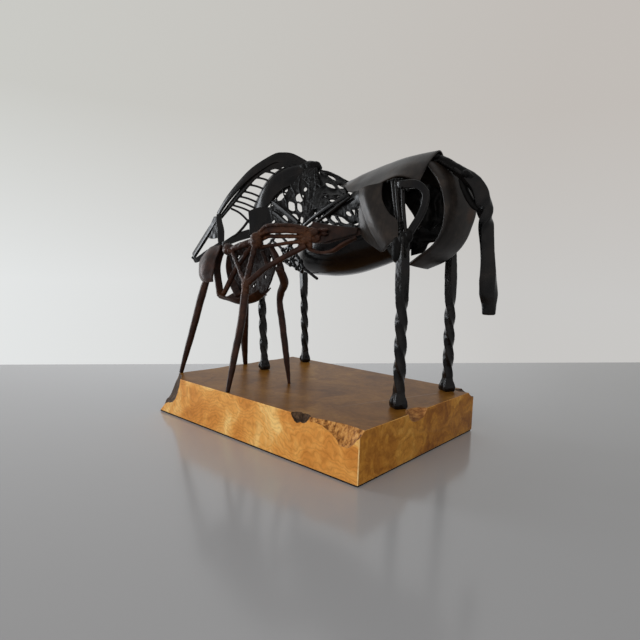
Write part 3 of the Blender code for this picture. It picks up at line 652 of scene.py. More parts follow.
barkEdge = makeBark("barkEdge", {
    "stretch": (1, 1, 0.3), "scale": 230.0, "bump": 0.8, "roughness": 0.72,
    "colours": [(0.30, (0.014, 0.009, 0.006)), (0.46, (0.055, 0.034, 0.022)), (0.60, (0.115, 0.070, 0.042)),
                (0.75, (0.23, 0.145, 0.080))],
})
scoopWood = makeBark("scoopWood", {
    "stretch": (1, 1, 0.22), "scale": 300.0, "bump": 0.7, "roughness": 0.55,
    "colours": [(0.32, (0.050, 0.019, 0.006)), (0.43, (0.27, 0.105, 0.024)), (0.55, (0.54, 0.25, 0.068)),
                (0.74, (0.72, 0.42, 0.14))],
})
bowlEdge = makeBark("bowlEdge", {
    "stretch": (1, 1, 2.5), "scale": 120.0, "bump": 0.4, "roughness": 0.4,
    "colours": [(0.35, (0.16, 0.06, 0.02)), (0.5, (0.36, 0.16, 0.05)), (0.65, (0.55, 0.28, 0.09))],
})
blackFelt = makeBark("blackFelt", {
    "stretch": (1, 1, 1), "scale": 1600.0, "bump": 1.0, "roughness": 0.95,
    "colours": [(0.35, (0.006, 0.006, 0.006)), (0.7, (0.03, 0.03, 0.031))],
})
print("wood and felt made")


def steelPiece(name, piece, nodes=(), steel=None):
    return finishPiece(piece, name, steel or blackSteel, nodes)


# the slab of burl wood and the felt under it

# what carves the slab: "dents" are depths and sizes, "voxel" how finely the cut is modelled
slab = {
    "corner": 0.9,
    # where the bark end and the broken front corner run, as x and z from low to high
    "barkEnd": {
        "slope": [(-177.6, 1), (-175.6, 16), (-171.5, 30), (-165, 43), (-159.5, 54.5), (-155, 66)],
        "sway": 1.2, "dents": [(3.0, 16), (1.6, 5), (0.8, 2)], "voxel": 1.1,
    },
    "brokenCorner": {
        "slope": [(-181, -3), (-174, 2), (-158, 15), (-146, 18), (-136, 24), (-128, 38), (-124.5, 49),
                  (-123, 64)],
        "dents": [(2.2, 12), (1.4, 4), (0.7, 1.8)], "voxel": 0.8,
    },
    # along the near edge: x, how low the break comes on the side, and how far back it comes on the top
    "scoop": {
        "line": [(108, 56, -128), (114, 51.5, -125), (128, 50.5, -121), (145, 44, -118), (153, 36, -117),
                 (160, 35.5, -117), (168, 38, -118), (176, 47, -119), (186, 54, -121)],
        "dents": [(2.6, 9), (2.0, 3.2), (0.6, 1.6)], "voxel": 0.6,
    },
    "notch": {
        "balls": [((94, -127, 53.5), (7, 8, 9.5)), ((104, -127, 54.5), (8.5, 9, 7.5))],
        "turn": (20, -28, 8), "dents": [(3.0, 4), (1.2, 2)], "voxel": 0.5,
    },
    "bowl": {"balls": [((180, -19, 57), (15, 21, 14))], "turn": (0, 0, 0), "dents": [(2.2, 9), (0.6, 3)],
             "voxel": 0.6},
    "farCorner": {"balls": [((176, 125, 56), (27, 13, 9))], "turn": (0, 12, 38),
                  "dents": [(5.0, 9), (2.5, 4), (0.8, 2)], "voxel": 0.7},
}


def carve(block, cutter, cut, skin):
    applyModifier(cutter, "REMESH", mode="VOXEL", voxel_size=cut["voxel"] * mm, use_smooth_shade=True)
    cutter.data.materials.clear()
    cutter.data.materials.append(skin)
    applyModifier(block, "BOOLEAN", object=cutter, operation="DIFFERENCE", solver="EXACT",
                  material_mode="TRANSFER")
    bpy.data.objects.remove(cutter)


def breakCutter(rows, outward, cut, steps=10):  # all that lies outside a rough surface
    piece = placeGrid(rows, steps)
    for dent in cut["dents"]:
        roughen(piece, *dent)
    bpy.ops.object.mode_set(mode="EDIT")
    bpy.ops.mesh.select_all(action="SELECT")
    bpy.ops.mesh.extrude_region_move(TRANSFORM_OT_translate={"value": Vector(outward) * mm})
    facesOutwards()
    return piece


def ballCutter(cut):
    balls = []
    for place, size in cut["balls"]:
        ball = addBall(place, size, 6, cut["turn"])
        for dent in cut["dents"]:
            roughen(ball, *dent)
        balls.append(ball)
    return joinPieces(balls)


def carveBarkEnd(block):
    cut = slab["barkEnd"]
    rows = []
    for x, z in cut["slope"]:
        sway = cut["sway"] * z / 54  # most at the top
        rows.append([(x + sway * math.sin(y * 0.09), y, z) for y in range(-160, 161, 20)])
    carve(block, breakCutter(rows, (-30, 0, 0), cut, 5), cut, barkEdge)


def carveBrokenCorner(block):
    cut = slab["brokenCorner"]
    rows = []
    for (x, z), rise in zip(cut["slope"], np.linspace(0, 1, len(cut["slope"]))):
        back = -125 + 21 * rise**0.8  # y where the break reaches the bark end
        left = -182 + 22 * rise
        rows.append([(x + 7, -138, z), (x, -128.5, z), ((x + left) / 2 + 1, (back - 127) / 2 + 3, z),
                     (left, back, z), (left - 12, back + 5, z)])
    carve(block, breakCutter(rows, (-22, -26, 0), cut), cut, barkEdge)


def carveScoop(block):
    cut = slab["scoop"]
    rows = [[(x, -136, lowest - 3), (x, -127, lowest), (x, (back - 127) / 2 - 1, (lowest + 52) / 2 - 1),
             (x, back, 54.5), (x, back + 4, 60)] for x, lowest, back in cut["line"]]
    carve(block, breakCutter(rows, (0, -16, 16), cut), cut, scoopWood)


def skinSawnFaces(block):  # each sawn face has its own figure; the top and the end are painted darker than the front as painted shade, the end with its own end-grain figure, and the near vertical corner is paler
    for skin in (burlTopPaintedShade, burlEndGrainAndShade, burlPaleCorner):
        block.data.materials.append(skin)
    skins = [skin.name for skin in block.data.materials]
    for face in block.data.polygons:
        if skins[face.material_index] != "burlWood":
            continue
        # the top takes the wood painted darker, as painted shade
        if face.normal.z > 0.8:
            face.material_index = skins.index("burlTopPaintedShade")
        # the end takes its end-grain figure, in colours painted darker as painted shade
        if face.normal.x > 0.8:
            face.material_index = skins.index("burlEndGrainAndShade")
        # faces on the near vertical corner take the paler wood
        if face.normal.x > 0.2 and face.normal.y < -0.2:
            face.material_index = skins.index("burlPaleCorner")


def boxPiece(node, share=1.0):  # a box as large as the node, or thinner
    low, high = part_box(node)
    deselectAll()
    bpy.ops.mesh.primitive_cube_add(size=1, location=(low + high) / 2)
    piece = bpy.context.object
    piece.scale = (high.x - low.x, high.y - low.y, (high.z - low.z) * share)
    bpy.ops.object.transform_apply(location=True, rotation=True, scale=True)
    return piece


def makeSlab():
    block = boxPiece("base_slab")
    applyModifier(block, "BEVEL", width=slab["corner"] * mm, segments=3, limit_method="ANGLE")
    block.data.materials.append(burlWood)
    carveBarkEnd(block)
    carveBrokenCorner(block)
    carveScoop(block)
    for name, skin in (("notch", barkEdge), ("bowl", bowlEdge), ("farCorner", barkEdge)):
        carve(block, ballCutter(slab[name]), slab[name], skin)
    skinSawnFaces(block)
    finishPiece(block, "burlSlab", None, ["base_slab"])


felt = {"thickness": 0.84, "cuts": 40, "dents": (0.3, 3)}  # thinner than its node, so the dents fit in


def makeFelt():
    sole = boxPiece("base_felt", felt["thickness"])
    bpy.ops.object.mode_set(mode="EDIT")
    bpy.ops.mesh.select_all(action="SELECT")
    bpy.ops.mesh.subdivide(number_cuts=felt["cuts"])
    bpy.ops.object.mode_set(mode="OBJECT")
    roughen(sole, *felt["dents"])
    finishPiece(sole, "feltSole", blackFelt, ["base_felt"])


makeSlab()
makeFelt()
print("slab cut")


# the mare's legs: square bars, twisted below, on upset hooves

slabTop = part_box("base_slab")[1].z / mm
hindBar = {"bow": 1.6, "bar": 11, "hoof": 15, "top": 246}
foreBar = {"bow": 1.0, "bar": 9.8, "hoof": 13.5, "top": 262}
mareLegs = {
    "hindLegLeft": {"foot": (155, -25), "lean": (-5, 0), **hindBar, "node": "mare_leg_hind_left"},
    "hindLegRight": {"foot": (152, 99), "lean": (-6, 0), **hindBar, "node": "mare_leg_hind_right"},
    "foreLegLeft": {"foot": (-105, 8), "lean": (-27, 6), **foreBar, "node": "mare_leg_fore_left"},
    "foreLegRight": {"foot": (-112, 106), "lean": (-10, -4), **foreBar, "node": "mare_leg_fore_right"},
}
legBar = {"full": 262, "bars": 15, "twist": (25, 174), "turns": (-12, -330), "set": -30, "edge": 1.6,
          "voxel": 0.8, "dents": [(0.7, 10), (0.35, 3)]}
# height above the slab, and width as a share of the hoof's
hoofProfile = [(0, 0.94), (1.5, 1.04), (4.5, 1.08), (8, 1.03), (11.5, 0.90), (14.5, 0.78), (17.5, 0.72),
               (20.5, 0.73)]
hoofLobes = [((-3.5, -4, 6.5), (4.6, 4.6, 5.6)), ((4.2, -1.5, 5.8), (4.8, 4.8, 5)),
             ((-1, 4, 6), (5, 4.5, 5.5)), ((0, -1, 12), (5, 5, 5.5))]


def legRoute(leg, levels):
    route = []
    for z in levels:
        share = ((z - slabTop) / (legBar["full"] - slabTop)) ** leg["bow"]
        route.append((leg["foot"][0] + leg["lean"][0] * share, leg["foot"][1] + leg["lean"][1] * share, z))
    return route


def makeMareLeg(name, leg):
    count = legBar["bars"]
    first, last = legBar["twist"]
    levels = [slabTop + rise for rise, _ in hoofProfile]
    levels += list(np.linspace(slabTop + first, last, count)) + [188, 212, leg["top"]]
    widths = [leg["hoof"] * share for _, share in hoofProfile] + [leg["bar"]] * count
    widths += [leg["bar"] * 1.06, leg["bar"] * 1.08, leg["bar"] * 0.9]
    turns = [0] * len(hoofProfile) + list(np.linspace(*legBar["turns"], count)) + [-340, -344, -344]
    turns = [turn + legBar["set"] for turn in turns]
    bar = forgeBar({"route": legRoute(leg, levels), "width": widths, "turn": turns, "across": (1, 0, 0),
                    "flat": True, "edge": legBar["edge"], "steps": 3})
    applyModifier(bar, "SUBSURF", levels=1, render_levels=1)
    foot = Vector((*leg["foot"], slabTop))
    piece = joinPieces([bar] + [layBead(foot + Vector(offset), size, 1.2) for offset, size in hoofLobes])
    fuse(piece, legBar["voxel"], 1)
    for dent in legBar["dents"]:
        roughen(piece, *dent)
    steelPiece(name, piece, [leg["node"]])


for name, leg in mareLegs.items():
    makeMareLeg(name, leg)
print("mare's legs forged")


# the mare's body: sheets bent over her back, belly, flanks and rump

spineSkew = 0.06  # the withers lie this much further over per mm forward of the croup


def spineY(x):
    return 40 + spineSkew * (155 - x)


def toRight(route):  # the same places on her right side
    return [(x, 2 * spineY(x) - y, z) for x, y, z in route]


backPlate = {
    "ridge": [(1, 50, 326), (30, 47, 334), (60, 46, 341), (110, 43, 349), (155, 40, 351)],
    "lowEdge": [(38, 16, 311), (60, 8, 307), (90, 1, 310), (124, 0, 318), (151, 2, 310)],
    "thick": 1.8, "steps": 8, "dents": (1.6, 22),
}
flankPlates = {
    "front": [(80, -15, 305), (84, -19, 291.5), (93, -22, 274), (103, -24, 256.7), (113, -24, 243.3),
              (124, -22, 230.2)],
    "rear": [(112, -13, 310), (114, -17, 298.4), (119, -21, 287), (130, -24, 273), (142, -24, 263),
             (143, -23, 245)],
    "farFoot": [(107, -24, 253), (126, -28, 255), (144, -24, 257)],
    "inner": [[(83, -10, 298), (92, -10, 299), (101, -8, 300)],
              [(80, -14, 282), (90, -16, 284), (101, -15, 285)],
              [(83, -15, 264), (94, -18, 267), (106, -18, 269)],
              [(86, -15, 251), (98, -18, 253), (112, -18, 256)],
              [(97, -15, 241), (108, -18, 243), (120, -18, 246)],
              [(117, -16, 230), (122, -18, 232), (128, -17, 236)]],
    "thick": 1.8, "steps": 8, "dents": (0.9, 24),
}
bellyPlate = {
    # x, lowest z and half width of each section
    "sections": [(-90, 216, 20), (-72, 207, 34), (-50, 203.5, 42), (-24, 202, 45), (4, 202, 46),
                 (34, 206, 46), (66, 214, 44), (102, 225, 40)],
    "rise": 46, "thick": 1.8, "steps": 6, "dents": (1.2, 40),
}
rumpBand = {
    "left": [(150, 21, 336), (157, 20, 327), (166.7, 20, 314), (173.2, 20, 299), (177, 20, 281),
             (175.6, 20, 261), (170.2, 20, 246.6), (162, 20, 236.5), (147, 20, 226.2), (133, 21, 217)],
    "right": [(150, 66, 338), (163, 69, 334), (175.5, 70, 324.5), (184, 70, 307), (189, 70, 283),
              (184, 70, 262), (178, 70, 248), (169, 70, 236), (153, 69, 223.5), (135, 60, 214)],
    "crown": 2.2, "lip": 2.4, "thick": 2.2, "steps": 7, "dents": (0.9, 22),
}
rumpScrap = {
    "rows": [
        [(144, 22, 306), (151, 26, 311), (157, 32, 306), (163, 38, 309), (170, 44, 302)],
        [(141, 24, 290), (150, 22, 294), (154, 34, 288), (163, 34, 292), (172, 44, 284)],
        [(143, 28, 277), (150, 24, 281), (157, 34, 274), (164, 34, 281), (174, 44, 271)],
        [(141, 24, 267), (151, 26, 271), (154, 34, 265), (163, 36, 272), (173, 44, 262)],
        [(137, 28, 259), (144, 26, 263), (151, 34, 258), (160, 36, 265), (170, 44, 256)],
    ],
    "thick": 1.8, "steps": 7, "dents": (4.6, 8),
}
innerPlates = {  # the plates seen through the haunch, on its far side
    "plates": [
        [[(43, 80, 336), (62, 82, 338), (85, 80, 332)], [(45, 80, 308), (62, 83, 307), (84, 80, 305)],
         [(43, 80, 288), (64, 83, 287), (85, 80, 285)], [(47, 80, 270), (66, 82, 270), (87, 80, 268)],
         [(52, 78, 252), (70, 80, 251), (90, 78, 251)]],
        [[(82, 80, 332), (114, 82, 331), (150, 80, 325)], [(84, 80, 306), (116, 83, 304), (151, 80, 300)],
         [(90, 80, 296), (120, 83, 293), (152, 80, 291)], [(102, 80, 279), (127, 83, 277), (153, 80, 275)],
         [(98, 80, 262), (125, 82, 261), (153, 80, 260)], [(98, 80, 252), (120, 82, 251), (147, 80, 252)],
         [(98, 80, 247), (112, 81, 247), (126, 80, 248)], [(98.5, 80, 240), (110, 80, 240), (121, 80, 240)],
         [(99, 80, 231), (108, 80, 233), (117, 80, 235)]],
    ],
    "thick": 1.8, "steps": 7, "dents": (2.4, 14),
}


def backRows():  # from the low edge on her left over the ridge to the one on her right
    rows = []
    for top, low in zip(backPlate["ridge"], backPlate["lowEdge"]):
        near = Vector(top).lerp(Vector(low), 0.5) + Vector((0, -2.5, 3))
        farLow = Vector(toRight([low])[0])
        far = Vector(top).lerp(farLow, 0.5) + Vector((0, 2.5, 3))
        rows.append([low, near, top, far, farLow])
    return rows


def flankRows():  # the near plate, a little bulged
    rows = []
    for front, rear in zip(flankPlates["front"], flankPlates["rear"]):
        middle = Vector(front).lerp(Vector(rear), 0.45) + Vector((0, -4, 0))
        rows.append([front, tuple(middle), rear])
    return rows


def bellyRows():  # an open trough, its front end cut slanting
    rows = []
    for x, lowest, half in bellyPlate["sections"]:
        row = []
        for angle in np.radians(np.linspace(-92, 92, 9)):
            lift = 1 - math.cos(angle)
            lean = max(0, -x) * 0.5 * lift
            row.append((x + lean, spineY(x) + half * math.sin(angle), lowest + bellyPlate["rise"] * lift))
        rows.append(row)
    return rows


def bandRows(band):  # a broad strip as rows of places, crowned, its near edge turned in
    rows = []
    for left, right in zip(band["left"], band["right"]):
        left, right = Vector(left), Vector(right)
        out = Vector((0.9, -0.25, 0.3 if left.z > 270 else -0.3)).normalized()
        row = [left - out * band["lip"], left]
        for share in (0.25, 0.5, 0.75):
            row.append(left.lerp(right, share) + out * band["crown"] * (1 - (2 * share - 1)**2))
        rows.append(row + [right, right - out * band["lip"] * 0.6])
    return rows


def makeBody():
    steelPiece("backPlate", cutSheet({**backPlate, "rows": backRows()}), ["mare_back_plate"], blackPlate)
    outer = flankRows()
    farSide = [toRight(row) for row in outer[:4] + [flankPlates["farFoot"]]]
    for name, rows, node in (("flankPlateLeft", outer, "mare_flank_plate_left"),
                             ("flankPlateLeftInner", flankPlates["inner"], "mare_flank_plate_left_inner"),
                             ("flankPlateRight", farSide, "mare_flank_plate_right")):
        steelPiece(name, cutSheet({**flankPlates, "rows": rows}), [node], blackPlate)
    steelPiece("bellyTrough", cutSheet({**bellyPlate, "rows": bellyRows()}), ["mare_belly_plate"])
    band = cutSheet({**rumpBand, "rows": bandRows(rumpBand)})
    steelPiece("rumpBand", band, ["mare_rump_band"], blackPlate)
    steelPiece("rumpScrap", cutSheet(rumpScrap), ["mare_rump_scrap"], blackWeld)
    for number, rows in enumerate(innerPlates["plates"], 1):
        steelPiece(f"innerPlate{number}", cutSheet({**innerPlates, "rows": rows}))


makeBody()
print("mare's body bent")


# her haunches: a flat loop on each side, round bars down to the near leg, and the weld that holds them

haunchLoop = {
    "route": [(132, -12, 306), (139, -14, 305), (152, -14, 304.5), (160, -14, 302.5), (167, -14, 297),
              (170, -14, 290), (168.5, -15, 277.3), (164, -16, 267), (159.5, -18, 258.6), (155, -20, 250),
              (150, -22, 243)],
    "across": [(0, 0, 1), (0, 0, 1), (0.1, 0, 1), (0.5, 0, 1), (1, 0, 0.6), (1, 0, 0), (1, 0, -0.2),
               (1, 0, -0.3), (1, 0, -0.4), (1, 0, -0.5), (1, 0, -0.5)],
    "width": [8, 9.2, 9.6, 9, 8.6, 8.2, 8.2, 8.2, 8.4, 8, 6], "thick": 5, "flat": True, "edge": 1.3,
    "rough": (0.5, 8),
}
thighBars = {
    "tops": [(124, -11, 311), (129.5, -12, 310.5), (138, -12, 309)],
    "feet": [(143, -20, 252), (146.5, -22, 250), (152, -22, 246)],
    "width": 4.8, "rough": (0.4, 6),
}
thighWeld = {
    "seams": [[(134, -14, 306), (141, -17, 280), (148, -23, 256)],
              [(118, -11, 311), (128, -12, 312), (138, -13, 311)],
              [(140, -17, 301), (145, -17, 298), (149, -17, 298)],
              [(151, -27, 250), (155, -29, 238), (157, -28, 224)],
              [(146, -25, 262), (149, -27, 250), (153, -29, 236)]],
    "lobe": [((145, -28, 231), (6.6, 5.4, 14)), ((157, -24, 246), (4.6, 4.6, 7)),
             ((151, -25, 240), (7, 6, 11)), ((143, -26, 240), (4.6, 4.6, 6))],
    "bead": 3.6, "voxel": 0.55, "dents": (0.7, 3),
}


def makeHaunches():
    for side, route in (("Left", haunchLoop["route"]), ("Right", toRight(haunchLoop["route"]))):
        piece = forgeBar({**haunchLoop, "route": route})
        steelPiece("haunchLoop" + side, piece, ["mare_haunch_loop_" + side.lower()])
    for number, (top, foot) in enumerate(zip(thighBars["tops"], thighBars["feet"]), 1):
        middle = Vector(top).lerp(Vector(foot), 0.5) + Vector((0, -1.5, 0))
        piece = forgeBar({**thighBars, "route": [top, middle, foot]})
        steelPiece(f"thighBar{number}", piece, [f"mare_thigh_bar_left_{number}"])
    beads = [layBead(place, size, 1.0) for place, size in thighWeld["lobe"]]
    for seam in thighWeld["seams"]:
        beads += layWeld(seam, thighWeld["bead"])
    weld = joinPieces(beads)
    fuse(weld, thighWeld["voxel"], 2)
    roughen(weld, *thighWeld["dents"])
    steelPiece("thighWeld", weld, steel=blackWeld)


makeHaunches()


# the tail: a round root and a flat strip, given one twist below the bend

tail = {
    "route": [(176, 40, 328), (184, 40, 322.5), (193, 40, 316), (204, 40, 304.5), (210.5, 40, 290),
              (213.8, 40, 277.5), (215.4, 40, 268), (216.4, 40, 258), (218.4, 41, 240), (219.8, 42, 222),
              (220.8, 43, 204), (222.3, 44, 186), (223.4, 44, 174), (224, 44, 162.5)],
    "width": [12, 14, 16.5, 17, 17, 16, 15.5, 16.5, 15, 16, 18, 18, 16, 14.4],
    "thick": [9, 9, 8, 8, 9, 13, 13, 9, 8, 9, 11, 12, 8, 5],
    "turn": [0, 0, 5, 10, 25, 75, 120, 165, 182, 190, 206, 228, 232, 214],
    "across": (0.75, 0.66, 0), "flat": True, "edge": 2.4, "steps": 5, "rough": (1.3, 12),
}
tailRoot = {
    "bars": [
        {"route": [(146, 40, 346), (158, 40, 340), (168, 40, 334), (178, 40, 327), (188, 40, 320),
                   (196, 40, 313)],
         "width": [7, 10.5, 11.5, 12, 12.5, 11], "rough": (1.4, 7)},
        {"route": [(184, 40, 316), (188, 39, 306), (193, 39, 296), (200, 39, 286), (208, 39, 280)],
         "width": 9, "thick": 6, "rough": (1.6, 5)},
    ],
    "lumps": [((190, 36, 319), (6, 5.5, 5.5)), ((148, 40, 345), (7, 8, 4.5))],
    "seam": [(156, 34, 339), (168, 34, 331), (183, 34, 321)], "bead": 3.6, "voxel": 0.5,
}


def makeTail():
    steelPiece("tailStrip", forgeBar(tail), ["mare_tail"])
    shapes = [forgeBar(bar) for bar in tailRoot["bars"]]
    shapes += [layBead(place, size, 1.6) for place, size in tailRoot["lumps"]]
    root = joinPieces(shapes + layWeld(tailRoot["seam"], tailRoot["bead"]))
    fuse(root, tailRoot["voxel"], 3)
    steelPiece("tailRoot", root, ["mare_tail_root"], blackWeld)


makeTail()
print("haunches and tail welded")


# the neck: mane and crest strips joined by ribs, and a broad strip down the throat side

neckSide = (0.25, 0.93, 0.1)  # square to the plane that the neck bends in
neck = {
    "mane": {"route": [(-62, 44, 363), (-76, 40, 369), (-90, 36, 374.5), (-104, 32, 376.5), (-119, 27, 375),
                       (-153, 18, 359), (-178, 12, 340.5), (-201, 6, 318.5), (-219, 1, 295)],
             "width": [8, 12, 14.5, 15, 14.5, 14, 12.5, 10.5, 8], "thick": 2.8,
             "turn": [30, 25, 18, 14, 8, 0, 0, 0, 0], "flat": True, "faces": neckSide, "edge": 0.7},
    "crest": {"route": [(-60, 44, 364), (-80, 38, 367), (-104, 32, 366), (-129, 25, 362), (-151, 20, 352),
                        (-165.5, 16, 339), (-184.5, 11, 321), (-200.5, 7, 305), (-215, 3, 289.5)],
              "width": [5, 7, 8.5, 9, 9.5, 10, 10, 9, 7], "thick": 3.2,
              "flat": True, "faces": neckSide, "edge": 0.6},
    "throatSide": {"route": [(-58, 45, 354), (-79, 39, 351), (-103.5, 32.5, 344.5), (-121.5, 28, 333),
                             (-133.5, 25, 318), (-143, 22, 303), (-148, 20.5, 290)],
                   "width": [17, 26, 31, 33, 32, 29, 25], "fold": [5, 5, 5, 5, 4, 1, -2],
                   "thick": 2.2, "steps": 8, "dents": (0.8, 14)},
    "inner": {"route": [(-60, 46, 345), (-73, 44, 340), (-89, 39, 337), (-104, 35, 331), (-114, 32, 323),
                        (-123, 29, 314), (-130, 27, 306), (-132, 26, 299)],
              "width": [10, 11, 12, 12, 11, 11, 10, 9], "thick": 2.4, "turn": 20,
              "flat": True, "faces": neckSide, "edge": 0.6},
    # where each rib leaves the crest and meets the strip, as shares of their lengths
    "ribs": [(0.18, 0.10), (0.24, 0.16), (0.29, 0.21), (0.355, 0.27), (0.425, 0.36), (0.52, 0.47),
             (0.62, 0.58), (0.69, 0.70), (0.74, 0.785), (0.79, 0.875), (0.84, 0.965)],
    "lastRib": [(-189.7, 4, 302.7), (-176, 12, 295), (-158, 18, 279)],
    "ribDiameter": 3.7, "ribInset": 8, "voxel": 0.7,
}


def pointAlong(route, share):
    line = smoothRows(route, 20)
    return Vector(line[round(share * (len(line) - 1))])


def combShapes():  # the crest strip and the ribs that run down from it
    strip = neck["throatSide"]["route"]
    shapes = [forgeBar(neck["crest"])]
    for start, end in neck["ribs"]:
        way = pointAlong(strip, min(end + 0.03, 1)) - pointAlong(strip, max(end - 0.03, 0))
        foot = pointAlong(strip, end) + way.cross(Vector(neckSide)).normalized() * -neck["ribInset"]
        shapes.append(bentRod(pointAlong(neck["crest"]["route"], start), foot, neck["ribDiameter"], 1.5))
    shapes.append(forgeBar({"route": neck["lastRib"], "width": neck["ribDiameter"], "sides": 10,
                            "edge": 0}))
    return shapes


def throatRows():  # the broad strip, folded along its middle
    strip = neck["throatSide"]
    route = [Vector(place) for place in strip["route"]]
    rows = []
    for i, place in enumerate(route):
        way = (route[min(i + 1, len(route) - 1)] - route[max(i - 1, 0)]).normalized()
        side = way.cross(Vector(neckSide)).normalized() * strip["width"][i] / 2
        out = -Vector(neckSide).normalized() * strip["fold"][i]
        rows.append([place + side, place + side * 0.45 + out * 0.7, place + out,
                     place - side * 0.5 + out * 0.9, place - side])
    return rows


def makeNeck():
    steelPiece("maneStrip", forgeBar(neck["mane"]), ["mare_mane_strip"])
    comb = joinPieces(combShapes())
    fuse(comb, neck["voxel"], 2)
    steelPiece("crestComb", comb, ["mare_crest_comb"])
    broad = cutSheet({**neck["throatSide"], "rows": throatRows()})
    steelPiece("neckStrip", joinPieces([broad, forgeBar(neck["inner"])]), ["mare_neck_strip"])


makeNeck()


# the head: a face bar and a jaw bar with a cheek, hung from the chest by two bars

head = {
    "faceBar": {"route": [(-217, -2, 288), (-233, -3, 271.5), (-249, -4, 255.5), (-278.5, -5, 227)],
                "across": (-0.7, 0.3, 0.65), "width": [12, 13, 13, 12.5], "thick": 5, "flat": True,
                "edge": 1.1, "node": "mare_face_bar"},
    "jawBar": {"route": [(-279.5, -5, 225), (-275, -5, 220.5), (-266, -5, 221), (-254, -5, 226.5),
                         (-238, -5, 234), (-216, -5, 242), (-202, -5, 247)],
               "across": (0.5, 0.3, -0.8), "width": [8, 9, 9, 7.5, 6.5, 6.5, 6.5], "thick": 4, "flat": True,
               "edge": 0.9, "node": "mare_jaw_bar"},
    "jowlStrip": {"route": [(-212, -3, 295), (-209, -4, 281), (-204.5, -4, 268), (-204, -4, 256),
                            (-203, -4, 245)],
                  "across": (1, 0.3, 0.2), "width": [8, 10.5, 12, 12, 10], "thick": 4, "flat": True,
                  "edge": 1.2, "node": "mare_jowl_strip"},
    "throatRod": {"route": [(-159, 16, 285), (-166, 10, 272), (-176, 4, 260), (-190, -2, 250)],
                  "width": 4.2, "rough": (0.5, 5), "node": "mare_throat_rod"},
    "throatBar": {"route": [(-154, 14, 263), (-173, 6, 257), (-188, -2, 249), (-199, -4, 245)],
                  "across": (0.2, 0.2, 1), "width": [14, 13, 9.5, 8], "thick": 4, "flat": True, "edge": 1,
                  "node": "mare_throat_bar"},
}
cheekPlate = {
    "rows": [[(-222, -4, 291), (-216, -4, 289), (-210, -4, 285)],
             [(-235, -4, 273.5), (-223, -4, 271), (-211, -4, 270)],
             [(-246, -4, 259), (-228, -4, 255), (-211, -4, 256)]],
    "thick": 3, "steps": 7, "dents": (1.6, 7),
}
chestPlate = {
    "rows": [
        [(-155, 11, 297), (-142, 14, 301), (-129, 18, 303), (-117.5, 21, 302), (-106.5, 25, 301)],
        [(-153, 12, 278), (-141, 14, 280), (-129, 18, 280), (-122.5, 21, 283), (-112.5, 23, 281)],
        [(-152, 12, 259), (-145, 14, 262), (-140, 16, 263), (-136, 17, 264), (-129.5, 18, 267)],
    ],
    "thick": 1.8, "steps": 8, "dents": (0.5, 14), "edge": 0.3,
}


def makeHead():
    for name, bar in head.items():
        steelPiece(name, forgeBar({"rough": (0.4, 7), **bar}), [bar["node"]])
    steelPiece("cheekPlate", cutSheet(cheekPlate), ["mare_cheek_plate"])
    steelPiece("chestPlate", cutSheet(chestPlate), ["mare_chest_plate"])


makeHead()
print("neck and head made")


# shoulders: a heavy blade of weld, and lattices of thin rod round it

shoulderLean = 0.41  # how much nearer her middle the shoulders lie per mm of height
sideSkew = 0.12  # how much further left her sides lie per mm back


def onWeb(low, high, z):  # one row of a web that leans with the shoulder
    return [(x, shoulderLean * z - 106, z) for x in np.linspace(low, high, 4)]


def onFarWeb(low, high, z):
    return [(x, 205 - sideSkew * x - shoulderLean * z, z) for x in np.linspace(low, high, 4)]


